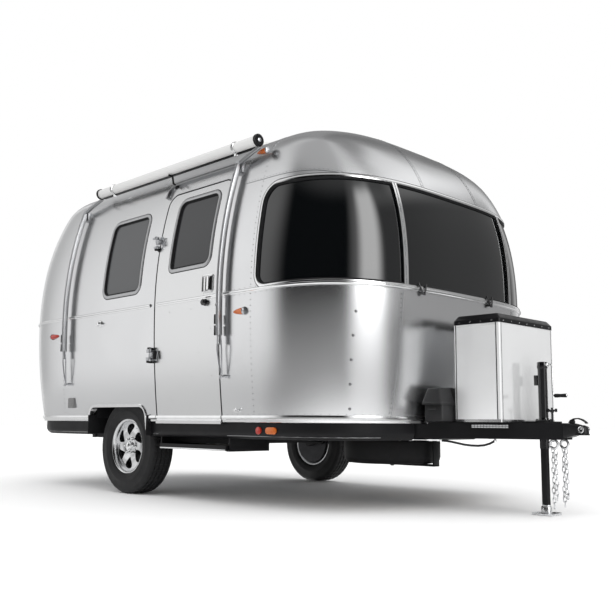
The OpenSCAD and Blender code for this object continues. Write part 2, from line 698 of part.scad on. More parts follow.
// ---- Floor and underside ----
deck_h = 13;
arch_x0 = axle_x - 450;
arch_x1 = axle_x + 314;
arch_z = 656;
arch_r = 70;
well_y = arm_y - 20;
house_z = 762;
house_t = 12;
module both_wells(x0, x1, y, z0, z1) {
    for (s = [0, 1]) mirror([0, s, 0]) block([x0, y, z0], [x1, half_belt + cut, z1]);
}
module floor_deck() {
    color("#8a7a62") difference() {
        translate([0, 0, frame_top_z + seat]) linear_extrude(deck_h)
            polygon(plan(sill_z, wall_t + 2));
        both_wells(arch_x0, arch_x1 + 40, well_y + house_t, 0, house_z);
    }
}
pan_t = 5;
module belly_pan() {
    color("#8f9296") intersection() {
        difference() {
            translate([0, 0, frame_z0]) linear_extrude(pan_t)
                polygon(plan(sill_z, skirt_d + skirt_t + seat));
            both_wells(arch_x0 - 20, axle_x + tyre_r + 25, rail_y, 0, house_z);
            for (s = [-1, 1])
                block([frame_x0 - 400, s * rail_y - frame_w / 2 - seat, 0],
                    [frame_x1 + 400, s * rail_y + frame_w / 2 + seat, frame_top_z]);
            block([spare_x - carrier_l / 2 - seat, -rail_y, 0], [nose_x, rail_y, frame_top_z]);
            block([step_x0 - seat, -half_belt, 0], [step_x1 + hanger_t + seat, -rail_y, frame_top_z]);
        }
        block([tail_x, -half_belt, 0], [nose_x, half_belt, frame_top_z]);
    }
}
module belly_skirt() {
    color("#1b1b1d") difference() {
        translate([0, 0, skirt_z]) linear_extrude(sill_z - seat - skirt_z) difference() {
            polygon(plan(sill_z, skirt_d));
            polygon(plan(sill_z, skirt_d + skirt_t));
        }
        both_wells(arch_x0 - 20, arch_x1 + 20, rail_y, 0, house_z);
        for (s = [-1, 1]) translate([0, s * hitch_y(nose_x), 0])
            block([nose_x - 400, -frame_w - 60, skirt_z - 1], [nose_x, frame_w + 60, frame_top_z]);
        for (s = [-1, 1])
            block([tail_x, bumper_arm_y(s) - 24, skirt_z - 1], [frame_x0, bumper_arm_y(s) + 24, sill_z]);
    }
}
module wheel_houses() {
    color("#3c3c3e") for (s = [0, 1]) mirror([0, s, 0]) difference() {
        block([arch_x0, well_y, frame_top_z + deck_h + 2 * seat],
            [arch_x1 + 40, skin_y(sill_z) - wall_t - 2, house_z]);
        block([arch_x0 + house_t, well_y + house_t, 0],
            [arch_x1 + 40 - house_t, half_belt, house_z - house_t]);
    }
}

// ---- Shell ----
door_z0 = 566;
door_r = 90;
door_inset = 5;
module door_prism(gap) {
    wall_prism(door_x0 - gap, door_x1 + gap, door_z0 - gap - 200, door_top_z + gap, door_r + gap,
        -half_belt - cut, -half_belt + 400);
}
module window_prism(x, w, z0, z1, side, gap = 0) {
    on_side(side) wall_prism(x - w / 2 - gap, x + w / 2 + gap, z0 - gap, z1 + gap, window_r,
        half_belt - 400, half_belt + cut);
}
side_window_x = bay_x0 + side_window_from_rear;
door_window_x = door_x0 + door_w / 2 + 20;
galley_window_x = door_window_x;
hatch_x = bay_x1 - 380;
hatch_z0 = 650;
hatch_z1 = hatch_z0 + hatch_h;
hatch_gap = 5;
module wall_strip(d0, d1) { bay_strip(bay_x0, bay_l, strip(sill_z, wall_top_z, 14, d0, d1)); }
module arch_prism(side, gap = 0) {
    on_side(side) wall_prism(arch_x0 - gap, arch_x1 + gap, arch_z - 400, arch_z + gap, arch_r + gap,
        half_belt - 400, half_belt + cut);
}
module hatch_prism(gap) {
    wall_prism(hatch_x - hatch_w / 2 - gap, hatch_x + hatch_w / 2 + gap, hatch_z0 - gap,
        hatch_z1 + gap, 25 + gap, half_belt - 400, half_belt + cut);
}
module side_wall_right() {
    color("#d5d7da") difference() {
        mirror([0, 1, 0]) wall_strip(0, wall_t);
        arch_prism(-1);
        door_prism(door_gap);
        window_prism(side_window_x, side_window_w, side_window_z0, side_window_z1, -1);
    }
}
hatch_axis_y = skin_y(hatch_z1) + 10;
hatch_axis_z = hatch_z1 + 3;
// Knuckle of a hatch hinge with its leaf, up on the wall or down on the hatch
module hatch_knuckle(x, half, up) {
    difference() {
        union() {
            translate([hatch_x + x, hatch_axis_y, hatch_axis_z]) rod_x(knuckle_r, -half, half);
            intersection() {
                block([hatch_x + x - half, half_belt - 200, min(hatch_axis_z, hatch_axis_z + up * 40)],
                    [hatch_x + x + half, hatch_axis_y, max(hatch_axis_z, hatch_axis_z + up * 40)]);
                bay_strip(bay_x0, bay_l, strip(hatch_z0, hatch_z1 + 60, 1, up > 0 ? -seat : 1, -7));
            }
        }
        if (up < 0) translate([hatch_x + x, hatch_axis_y, hatch_axis_z])
            rod_x(hinge_pin_r + bearing_gap, -half - 1, half + 1);
    }
}
module hatch_hinge() {
    for (s = [-1, 1]) {
        for (e = [-36, 36]) hatch_knuckle(s * 180 + e, 13, 1);
        translate([hatch_x + s * 180, hatch_axis_y, hatch_axis_z]) rod_x(hinge_pin_r, -46, 46);
    }
}
module side_wall_left() {
    color("#d5d7da") hatch_hinge();
    color("#d5d7da") difference() {
        wall_strip(0, wall_t);
        arch_prism(1);
        window_prism(side_window_x, side_window_w, side_window_z0, side_window_z1, 1);
        window_prism(galley_window_x, side_window_w, side_window_z0, side_window_z1, 1);
        hatch_prism(hatch_gap);
    }
}
roof_rows = concat([wall_top_z], shoulder_rows, crown_rows);
function roof_arc(d) = let(right = [for (z = roof_rows) [-skin_y(z, d), skin_z(z, d)]], n = len(right) - 1)
    concat(right, [for (i = [1:n]) [-right[n - i][0], right[n - i][1]]]);
function reversed(v) = [for (i = [len(v) - 1:-1:0]) v[i]];
module roof_panel() {
    color("#c9cbce") bay_strip(bay_x0, bay_l, concat(roof_arc(0), reversed(roof_arc(wall_t))));
}
module front_dome() {
    rows = dome_rows(front_window_z0, front_window_z1);
    color("#d0d2d5") grid_shell(
        nose_grid(rows, dome_angles, 0), nose_grid(rows, dome_angles, wall_t),
        [for (c = [corner_cols, centre_cols, [last_col - 10, last_col - 1]])
            [window_row0, window_row1, c[0], c[1]]], apex = true);
}
module rear_dome() {
    rows = dome_rows(rear_window_z0, rear_window_z1);
    color("#d0d2d5") grid_shell(
        tail_grid(rows, dome_angles, 0), tail_grid(rows, dome_angles, wall_t),
        [[window_row0, window_row1, centre_cols[0], centre_cols[1]]], apex = true);
}

// ---- Glass ----
glass_d = 12;
edge_gap = 0.5;
edge_angle = 0.03;
function inset_rows(z0, z1) = concat([z0 + edge_gap], steps(z0 + edge_gap, z1 - edge_gap, window_rows));
function col_angles(cols) = [for (j = [cols[0]:cols[1]])
    dome_angles[j] + (j == cols[0] ? edge_angle : j == cols[1] ? -edge_angle : 0)];
module front_windows() {
    rows = inset_rows(front_window_z0, front_window_z1);
    color("#1d2226") for (c = [corner_cols, centre_cols, [last_col - 10, last_col - 1]])
        grid_shell(nose_grid(rows, col_angles(c), glass_d),
            nose_grid(rows, col_angles(c), glass_d + glass_t));
}
module rear_window() {
    rows = inset_rows(rear_window_z0, rear_window_z1);
    color("#1d2226") grid_shell(tail_grid(rows, col_angles(centre_cols), glass_d),
        tail_grid(rows, col_angles(centre_cols), glass_d + glass_t));
}
module side_pane(x, w, z0, z1, side) {
    intersection() {
        on_side(side) bay_strip(x - w / 2 - 1, w + 2,
            strip(sill_z, wall_top_z, 14, glass_d, glass_d + glass_t));
        window_prism(x, w, z0, z1, side, -seat);
    }
}
module side_windows() {
    color("#5a6064") {
        side_pane(side_window_x, side_window_w, side_window_z0, side_window_z1, -1);
        side_pane(side_window_x, side_window_w, side_window_z0, side_window_z1, 1);
        side_pane(galley_window_x, side_window_w, side_window_z0, side_window_z1, 1);
    }
}

// ---- Entry door ----
module entry_door() {
    color("#dadcde") difference() {
        intersection() {
            mirror([0, 1, 0]) wall_strip(0, wall_t);
            door_prism(0);
            block([door_x0, -half_belt - cut, door_z0], [door_x1, 0, door_top_z + 1]);
        }
        window_prism(door_window_x, door_window_w, door_window_z0, door_window_z1, -1);
    }
}
module door_window() {
    color("#5a6064")
        side_pane(door_window_x, door_window_w, door_window_z0, door_window_z1, -1);
}

// Door hinges: the axis leans with the wall
hinge_z0 = 1028;
hinge_z1 = 1877;
hinge_off = 36;
hinge_x = door_x0 - 2;
hinge_y0 = -skin_y(hinge_z0) - hinge_off;
hinge_y1 = -skin_y(hinge_z1) - hinge_off;
hinge_lean = atan((hinge_y1 - hinge_y0) / (hinge_z1 - hinge_z0));
door_knuckle_r = 9;
door_pin_r = 5;
knuckle_h = 30;
leaf_w = 46;
leaf_t = 7;
module at_hinge(z) {
    translate([hinge_x, hinge_y0 + (hinge_y1 - hinge_y0) * (z - hinge_z0) / (hinge_z1 - hinge_z0), z])
        rotate([-hinge_lean, 0, 0]) children();
}
// Leaf from the knuckle to the skin, side -1 towards the rear and 1 towards the door's edge
module hinge_leaf(z, side, z0, z1) {
    difference() {
        intersection() {
            at_hinge(z) union() {
                translate([side > 0 ? 0 : -leaf_w, -leaf_t / 2 + 3, z0]) cube([leaf_w, 60, z1 - z0]);
                translate([0, 0, z0]) cylinder(r = door_knuckle_r, h = z1 - z0, $fn = 32);
            }
            mirror([0, 1, 0]) bay_strip(door_x0 - 100, 200, strip(z - 80, z + 80, 4, -seat, -70));
        }
        if (side > 0) at_hinge(z) translate([0, 0, z0 - 1])
            cylinder(r = door_pin_r + bearing_gap, h = z1 - z0 + 2, $fn = 32);
        if (side > 0) at_hinge(z) translate([-30, door_knuckle_r + 1, z0 - 1])
            cube([30 + door_gap + 1, 60, z1 - z0 + 2]);
        if (side < 0) at_hinge(z) translate([-door_gap, door_knuckle_r + 1, z0 - 1])
            cube([30 + door_gap, 60, z1 - z0 + 2]);
    }
}
module door_hinges() {
    color("#9ea2a6") for (z = [hinge_z0, hinge_z1]) {
        hinge_leaf(z, -1, -48, -17);
        hinge_leaf(z, -1, 17, 48);
        at_hinge(z) translate([0, 0, -48]) cylinder(r = door_pin_r, h = 96, $fn = 32);
    }
}
rail_h = 26;
rail_t = 12;
belt_rail_z0 = belt_z - 14;
foot_rail_z0 = 547;
foot_rail_z1 = 593;
door_foot_z0 = 532;
latch_x0 = door_x1 - 178;
latch_w = 104;
latch_z0 = 1436;
latch_h = 112;
// A strip of flat trim on the right-hand wall from x0 to x1, proud by t
module wall_trim(x0, x1, z0, z1, t) {
    mirror([0, 1, 0]) bay_strip(x0, x1 - x0, [
        [max(skin_y(z0), skin_y(z1), z0 < belt_z && z1 > belt_z ? skin_y(belt_z) : 0) + seat, z0],
        [max(skin_y(z0), skin_y(z1)) + t, z0], [max(skin_y(z0), skin_y(z1)) + t, z1],
        [max(skin_y(z0), skin_y(z1), z0 < belt_z && z1 > belt_z ? skin_y(belt_z) : 0) + seat, z1]
    ]);
}
module door_trim() {
    color("#c2c5c9") {
        wall_trim(door_x0 + 30, door_x1, belt_rail_z0, belt_rail_z0 + rail_h, rail_t);
        wall_trim(door_x0 + 2, door_x1 - 2, door_foot_z0, foot_rail_z1, rail_t + 4);
        wall_trim(latch_x0, latch_x0 + latch_w, latch_z0, latch_z0 + latch_h, 18);
        for (z = [hinge_z0, hinge_z1]) hinge_leaf(z, 1, -16, 16);
        translate([door_x1 - 146, -skin_y(1362) - seat, 1362]) rod_y(20, -10, 0);
    }
}

// ---- Trim on the shell ----
// Rail round the whole shell, between two heights, proud by t
module shell_rail(z0, z1, t) {
    widest = z0 < belt_z && z1 > belt_z ? belt_z : z1 <= belt_z ? z1 : z0;
    translate([0, 0, z0]) linear_extrude(z1 - z0) difference() {
        polygon(plan(widest, -t));
        polygon(plan(widest, -seat));
    }
}
arch_trim_w = 22;
module trim_rails() {
    color("#c2c5c9") {
        difference() {
            union() {
                shell_rail(belt_rail_z0, belt_rail_z0 + rail_h, rail_t);
                shell_rail(foot_rail_z0, foot_rail_z1, rail_t);
            }
            block([door_x0 - door_gap, -half_belt - cut, 0], [door_x1 + door_gap, 0, belt_z + 200]);
            arch_prism(1, arch_trim_w);
            arch_prism(-1, arch_trim_w);
            block([hinge_x - leaf_w - 2, -half_belt - cut, belt_z - 20], [hinge_x, 0, belt_z + 20]);
        }
        for (s = [-1, 1]) difference() {
            intersection() {
                on_side(s) bay_strip(bay_x0, bay_l, strip(sill_z - 60, arch_z + 60, 5, -seat, -8));
                arch_prism(s, arch_trim_w);
            }
            arch_prism(s);
            block([arch_x0 - 99, -half_belt - cut, 0], [arch_x1 + 99, half_belt + cut, sill_z - 60]);
        }
    }
}

// ---- Awning ----
roller_off = 113;
roller_z = 2447;
roller_y = -skin_y(roller_z - 7) - roller_off;
roller_x0 = bay_x0 + 350;
roller_x1 = roller_x0 + roller_l;
rear_arm_x = roller_x0 - 268;
front_arm_x = roller_x1 - 212;
arm_d0 = 26;
arm_d1 = 52;
arm_z0 = 850;
arm_z1 = 2330;
module awning_roller() {
    color("#e2e4e6") translate([0, roller_y, roller_z]) rod_x(roller_r, roller_x0, roller_x1, 64);
}
cap_t = 14;
cap_foot_z = roller_z - roller_r - 26;
// Arm at x with its head leading to a cap that covers x0 to x0 + cap_t
module awning_arm(x, x0) {
    head_z = arm_z1 - 30;
    head_y = -skin_y(arm_z1) - arm_d1;
    run = x0 + cap_t / 2 - x;
    climb = cap_foot_z - head_z;
    mirror([0, 1, 0]) {
        bay_strip(x - arm_w / 2, arm_w, strip(arm_z0, arm_z1, 12, -arm_d0, -arm_d1));
        bay_strip(x - arm_w / 2 - 6, arm_w + 12, strip(arm_z0 - 30, arm_z0 + 40, 1, -seat, -arm_d0 - 6));
        bay_strip(x - arm_w / 2, arm_w, strip(arm_z1 - 60, arm_z1, 1, -seat, -arm_d0 - 6));
    }
    translate([x, head_y, head_z]) rotate([0, -atan(climb / run), 0])
        translate([-10, -6, -13]) cube([norm([run, climb]) + 10, 24, 26]);
    block([x0, roller_y - 20, cap_foot_z - 14], [x0 + cap_t, head_y + 20, roller_z]);
    translate([0, roller_y, roller_z]) rod_x(roller_r + 5, x0, x0 + cap_t, 48);
}
module awning_arms() {
    color("#b4b8bc") {
        awning_arm(rear_arm_x, roller_x0 - seat - cap_t);
        awning_arm(front_arm_x, roller_x1 + seat);
    }
}

// ---- Entry step and stabilisers ----
step_travel = 240;
module entry_step() {
    color("#3a3a3c") {
        block([door_x0, -step_y1 - 14, step_z0], [door_x1, -hanger_y0 - 110, step_z0 + step_h]);
        block([door_x0, -step_y1 - 22, step_z0 - 6], [door_x1, -step_y1 - 13, step_z0 + step_h]);
    }
}
module stabiliser(y) {
    color("#2c2c2e") difference() {
        union() {
            translate([leg_pivot_x, y, leg_pivot_z]) rod_y(leg_h / 2, -leg_w / 2, leg_w / 2);
            block([leg_pivot_x, y - leg_w / 2, leg_pivot_z - leg_h / 2],
                [leg_pivot_x + leg_l - 8, y + leg_w / 2, leg_pivot_z + leg_h / 2]);
            block([leg_pivot_x + leg_l - 8, y - 45, leg_pivot_z - 50],
                [leg_pivot_x + leg_l, y + 45, leg_pivot_z + 28]);
        }
        translate([leg_pivot_x, y, leg_pivot_z]) rod_y(pin_r + pin_gap, -leg_w, leg_w);
    }
}
module stabiliser_right() { stabiliser(-rail_y); }
module stabiliser_left() { stabiliser(rail_y); }

// ---- Rear ----
bumper_x = tail_x_at(sill_z, 0);
bumper_half = 690;
function bumper_arm_y(s) = s * (rail_y - 90);
plate_z = 760;
plate_hole = 89;
plate_hole_r = 3.5;
module rear_bumper() {
    color("#222224") {
        block([bumper_x - 46, -bumper_half, 470], [bumper_x - 6, bumper_half, 530]);
        for (s = [-1, 1])
            block([bumper_x - 30, bumper_arm_y(s) - 20, 482], [frame_x0 - seat, bumper_arm_y(s) + 20, 518]);
        difference() {
            block([tail_x_at(plate_z, 0) - 34, -160, plate_z - 82],
                [tail_x_at(plate_z, 0) - 26, 160, plate_z + 82]);
            for (y = [-plate_hole, plate_hole])
                translate([0, y, plate_z + 60])
                    rod_x(plate_hole_r, tail_x_at(plate_z, 0) - 40, tail_x_at(plate_z, 0) - 20);
        }
        block([tail_x_at(plate_z, 0) - 28, -40, plate_z - 30],
            [tail_x_at(plate_z + 30, 0), 40, plate_z + 30]);
    }
}
// Places a lamp flat on a dome's skin at plan angle a and height z, facing outwards along +X
module on_tail(a, z) {
    p = tail_pt(z, a);
    q = tail_pt(z, a + 1) - tail_pt(z, a - 1);
    heading = atan2(q[1], q[0]) + 90;
    rise = tail_pt(z + 1, a) - tail_pt(z - 1, a);
    lean = atan2(rise[0] * cos(heading) + rise[1] * sin(heading), 2);
    translate([p[0], p[1], z]) rotate([0, lean, heading]) children();
}
lamp_t = 22;
// The rear dome's flat facets lie this far inside its curve under the lamps
facet_gap = 1.2;
module lamp(l, h) { translate([seat - facet_gap, -l / 2, -h / 2]) cube([lamp_t + facet_gap, l, h]); }
module round_lamp() {
    rotate([0, 90, 0]) translate([0, 0, seat - facet_gap])
        cylinder(r = 52, h = 26 + facet_gap, $fn = 48);
}
module tail_lights() {
    color("#b01818") for (s = [-1, 1]) {
        on_tail(s * 34, 950) round_lamp();
        on_tail(s * 34, 800) round_lamp();
        on_tail(s * 87, belt_z - 138) lamp(72, 34);
        on_tail(s * 40, 2320) lamp(70, 22);
    }
}
amber_x = bay_x1 - 96;
module marker_lights() {
    color("#e0781a") for (s = [-1, 1]) on_side(s) {
        translate([amber_x, skin_y(belt_z - 132) + seat, belt_z - 132])
            block([-36, 0, -17], [36, lamp_t, 17]);
        translate([amber_x + 6, skin_y(2396), 2396])
            rotate([29, 0, 0]) block([-38, seat, -11], [38, 18, 11]);
        translate([bay_x1 + 24, 0, sill_z - 52])
            rod_y(17, skin_y(sill_z) - skirt_d + seat, skin_y(sill_z) - skirt_d + 16);
        translate([bay_x1 + 150, 0, sill_z - 52])
            block([-37, skin_y(sill_z) - skirt_d - 2.4, -16], [37, skin_y(sill_z) - skirt_d + 12, 16]);
    }
}

// ---- Road-side hatch and roof fittings ----
module hatch_door() {
    color("#d5d7da") {
        intersection() {
            wall_strip(0, wall_t);
            hatch_prism(0);
        }
        for (s = [-1, 1]) hatch_knuckle(s * 180, 22, -1);
    }
}
vent_x = bay_x0 + 290;
vent_half = 190;
vent_base_h = 46;
vent_lid_h = 34;
cooler_x = bay_x0 + 1160;
cooler_l = 760;
cooler_w = 640;
cooler_h = 235;
module above_roof(x0, x1, half, top) {
    difference() {
        block([x0, -half, crown_z - 60], [x1, half, top]);
        bay_strip(x0 - 1, x1 - x0 + 2,
            concat(roof_arc(-seat), [[half_belt, belt_z], [-half_belt, belt_z]]));
        children();
    }
}
module roof_vent_base() {
    color("#e4e4e2") above_roof(vent_x - vent_half, vent_x + vent_half, vent_half, crown_z + vent_base_h)
        block([vent_x - vent_half + 20, -vent_half + 20, 0],
            [vent_x + vent_half - 20, vent_half - 20, crown_z + vent_base_h + 1]);
}
module roof_vent_lid() {
    color("#eeeeec") difference() {
        block([vent_x - vent_half - 14, -vent_half - 14, crown_z + vent_base_h - 10],
            [vent_x + vent_half + 14, vent_half + 14, crown_z + vent_base_h + vent_lid_h]);
        block([vent_x - vent_half - 6, -vent_half - 6, 0],
            [vent_x + vent_half + 6, vent_half + 6, crown_z + vent_base_h + seat]);
    }
}
module roof_cooler() {
    color("#e8e8e6") above_roof(cooler_x - cooler_l / 2, cooler_x + cooler_l / 2, cooler_w / 2,
        crown_z + cooler_h) { }
}

main_frame();
hitch_frame();
coupler();
coupler_latch();
jack_tube();
jack_crank();
jack_leg();
safety_chains();
gas_cover();
gas_cover_lid();
battery_box();
gas_line();
axle();
wheel_right_rim();
wheel_right_tyre();
wheel_left_rim();
wheel_left_tyre();
spare_wheel();
floor_deck();
belly_pan();
belly_skirt();
wheel_houses();
side_wall_right();
side_wall_left();
roof_panel();
front_dome();
rear_dome();
front_windows();
side_windows();
rear_window();
entry_door();
door_window();
door_trim();
door_hinges();
trim_rails();
awning_roller();
awning_arms();
entry_step();
stabiliser_right();
stabiliser_left();
rear_bumper();
marker_lights();
tail_lights();
hatch_door();
roof_vent_base();
roof_vent_lid();
roof_cooler();
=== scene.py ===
# Looks of the travel caravan: smooth riveted shell, glass, trim, wheels, hitch and finishes.
# Lengths are in millimetres and become metres when a mesh is made. +X hitch, +Y road side, +Z up.
import bpy
import bmesh
from math import acos, asin, atan2, ceil, cos, degrees, hypot, pi, radians, sin, sqrt
from mathutils import Matrix, Vector


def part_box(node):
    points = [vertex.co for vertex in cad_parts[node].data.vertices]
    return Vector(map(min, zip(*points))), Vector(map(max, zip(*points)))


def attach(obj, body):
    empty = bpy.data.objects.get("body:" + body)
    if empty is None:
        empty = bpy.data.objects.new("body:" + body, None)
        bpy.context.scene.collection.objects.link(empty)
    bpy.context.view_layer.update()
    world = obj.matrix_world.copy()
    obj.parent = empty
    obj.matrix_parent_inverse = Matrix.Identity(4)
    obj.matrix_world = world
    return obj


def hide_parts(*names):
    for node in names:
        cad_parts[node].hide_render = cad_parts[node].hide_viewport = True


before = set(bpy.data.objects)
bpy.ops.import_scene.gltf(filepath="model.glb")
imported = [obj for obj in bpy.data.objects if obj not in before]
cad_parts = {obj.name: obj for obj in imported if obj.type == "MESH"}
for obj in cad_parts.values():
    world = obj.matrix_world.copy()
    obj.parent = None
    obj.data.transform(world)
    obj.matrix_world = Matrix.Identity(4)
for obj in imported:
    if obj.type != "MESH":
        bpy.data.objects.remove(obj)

MM = 0.001
UP = Vector((0, 0, 1))
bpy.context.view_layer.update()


def cad(node):
    """Lowest and highest corner of a CAD node, in millimetres."""
    low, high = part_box(node)
    return Vector(low) / MM, Vector(high) / MM


# ---- Driving dimensions of the shell ----
SHELL_W, NOSE_L, TAIL_L = 2450, 827, 973
SILL_Z, BELT_Z = 548, 1400
WALL_T = 45
# Arcs of the section: the wall above the belt, the shoulder, and the tuck below the belt
WALL_R, WALL_ARC = 2880, radians(19.5)
SHOULDER_R, SHOULDER_ARC = 240, radians(73.8)
TUCK_R = 6470
# How far each dome tucks in at the sill, and the powers of its side and plan curves
NOSE_TUCK, TAIL_TUCK = 60, 150
NOSE_M, NOSE_N, TAIL_M, TAIL_N, PLAN_N = 2.69, 2.08, 3.0, 2.12, 3.17
BAY_X0, BAY_X1 = cad("side_wall_right")[0].x, cad("side_wall_right")[1].x
HALF = SHELL_W / 2
SHOULDER_CY = HALF - WALL_R + (WALL_R - SHOULDER_R) * cos(WALL_ARC)
SHOULDER_CZ = BELT_Z + (WALL_R - SHOULDER_R) * sin(WALL_ARC)
CROWN_R = SHOULDER_R + SHOULDER_CY / cos(SHOULDER_ARC)
CROWN_CZ = SHOULDER_CZ - (CROWN_R - SHOULDER_R) * sin(SHOULDER_ARC)
CROWN_Z = CROWN_CZ + CROWN_R
DOME_H = CROWN_Z - BELT_Z
TUCK_ARC = asin((BELT_Z - SILL_Z) / TUCK_R)

# Distances along the section, from the sill up to the crown
V_BELT = TUCK_R * TUCK_ARC
V_WALL = V_BELT + WALL_R * WALL_ARC
V_SHOULDER = V_WALL + SHOULDER_R * (SHOULDER_ARC - WALL_ARC)
V_CROWN = V_SHOULDER + CROWN_R * (pi / 2 - SHOULDER_ARC)


def section(v, d=0):
    """(half width, height, height on the outer skin) at distance v up the section, d inside the skin."""
    if v <= V_BELT:
        z = BELT_Z - TUCK_R * sin(TUCK_ARC - v / TUCK_R)
        return HALF - TUCK_R + sqrt((TUCK_R - d) ** 2 - (z - BELT_Z) ** 2), z, z
    if v <= V_WALL:
        a = (v - V_BELT) / WALL_R
        centre, r = (HALF - WALL_R, BELT_Z), WALL_R
    elif v <= V_SHOULDER:
        a = WALL_ARC + (v - V_WALL) / SHOULDER_R
        centre, r = (SHOULDER_CY, SHOULDER_CZ), SHOULDER_R
    else:
        a = min(pi / 2, SHOULDER_ARC + (v - V_SHOULDER) / CROWN_R)
        centre, r = (0, CROWN_CZ), CROWN_R
    return centre[0] + (r - d) * cos(a), centre[1] + (r - d) * sin(a), centre[1] + r * sin(a)


def v_at(z):
    """Distance up the section at height z on the walls."""
    if z <= BELT_Z:
        return V_BELT - TUCK_R * asin((BELT_Z - z) / TUCK_R)
    return V_BELT + WALL_R * asin((z - BELT_Z) / WALL_R)


def road_v(v):
    """Distance v of the same place on the road side."""
    return 2 * V_CROWN - v


def bay(x, v, d=0):
    """Point of the straight bay: v runs from the kerb-side sill over the roof to the road-side sill."""
    side = -1 if v <= V_CROWN else 1
    y, z, _ = section(min(v, road_v(v)), d)
    return Vector((x, side * y, z))


def squarish(t):
    """Cosine or sine of a circle turned into that of the domes' squarer plan."""
    return (1 if t >= 0 else -1) * abs(t) ** (2 / PLAN_N)


def reach(z, length, m, n, tuck, d=0):
    """How far a dome stands out of the bay at height z, d inside its skin."""
    rise = max(0.0, min(1.0, (z - BELT_Z) / DOME_H))
    sink = max(0.0, (BELT_Z - z) / (BELT_Z - SILL_Z))
    return (length - d) * (1 - rise ** m) ** (1 / n) - tuck * sink ** 2


def plan_table(length):
    """Distance along a dome's plan at belt height, by angle."""
    steps, table, last, total = 1440, [], None, 0.0
    for i in range(steps + 1):
        a = -pi / 2 + pi * i / steps
        p = Vector((length * squarish(cos(a)), HALF * squarish(sin(a))))
        total += (p - last).length if last else 0.0
        last = p
        table.append((total, a))
    return [(s - total / 2, a) for s, a in table]


PLANS = {"nose": plan_table(NOSE_L), "tail": plan_table(TAIL_L)}
NOSE_S, TAIL_S = PLANS["nose"][-1][0], PLANS["tail"][-1][0]


def angle_at(s, end):
    """Plan angle at distance s along a dome."""
    table = PLANS[end]
    if s <= table[0][0]:
        return -pi / 2
    if s >= table[-1][0]:
        return pi / 2
    low, high = 0, len(table) - 1
    while high - low > 1:
        mid = (low + high) // 2
        if table[mid][0] <= s:
            low = mid
        else:
            high = mid
    (s0, a0), (s1, a1) = table[low], table[high]
    return a0 + (a1 - a0) * (s - s0) / (s1 - s0)


def nose(s, v, d=0):
    """Point of the front dome, s along its plan from the kerb side to the road side."""
    y, z, z_skin = section(v, d)
    a = angle_at(s, "nose")
    r = reach(z_skin, NOSE_L, NOSE_M, NOSE_N, NOSE_TUCK, d)
    return Vector((BAY_X1 + r * squarish(max(0.0, cos(a))), y * squarish(sin(a)), z))


def tail(s, v, d=0):
    """Point of the rear dome, s along its plan from the road side to the kerb side."""
    y, z, z_skin = section(v, d)
    a = angle_at(s, "tail")
    r = reach(z_skin, TAIL_L, TAIL_M, TAIL_N, TAIL_TUCK, d)
    return Vector((BAY_X0 - r * squarish(max(0.0, cos(a))), -y * squarish(sin(a)), z))


def normal(surface, u, v):
    """Outward normal of a skin surface."""
    e = 2.0
    du = surface(u + e, v) - surface(u - e, v)
    dv = surface(u, min(v + e, V_CROWN * 2)) - surface(u, v - e)
    n = du.cross(dv)
    return n.normalized() if n.length > 1e-9 else UP


def turning(low, high, before):
    """The value between low and high up to which before(value) holds, found by halving."""
    for _ in range(40):
        mid = (low + high) / 2
        if before(mid):
            low = mid
        else:
            high = mid
    return low


def at_y(surface, half_s, y, v):
    """Distance s at which a dome crosses the plane y, at section distance v."""
    rising = surface(half_s, v).y > surface(-half_s, v).y
    return turning(-half_s, half_s, lambda s: (surface(s, v).y < y) == rising)


def nose_s(x, z):
    """Plan distance on the kerb half of the nose at which the skin at height z reaches x."""
    v = v_at(z)
    return turning(-NOSE_S, 0.0, lambda s: nose(s, v).x < x)


def v_top(z):
    """Distance up the section at height z on the shoulder and crown."""
    return turning(0.0, V_CROWN, lambda v: section(v)[1] < z)


def spot(surface, u, v, d=0.0):
    """(point, outward normal) of a surface, the point d inside the skin."""
    return surface(u, v, d), normal(surface, u, v)


def on(surface, outline, d=0.0):
    """Path of (point, normal) on a surface along an outline of (u, v)."""
    return [spot(surface, u, v, d) for u, v in outline]


def level_run(surface, us, v):
    """Path of (point, normal) along a surface at one section distance."""
    return on(surface, [(u, v) for u in us])


def raised(outline):
    """Outline given as (x, height) turned into (x, distance up the section)."""
    return [(x, v_at(z)) for x, z in outline]


def mirrored(outline):
    """The same outline on the road side, in the order that keeps it counter-clockwise."""
    return [(x, road_v(v)) for x, v in reversed(outline)]


# ---- Mesh making ----
def unclosed(points):
    """Neighbouring pairs."""
    return list(zip(points, points[1:]))


def turns(n):
    """n equal angles of a full turn."""
    return [2 * pi * k / n for k in range(n)]


def flat(outline, z):
    """A plan outline as points at height z."""
    return [Vector((a, b, z)) for a, b in outline]


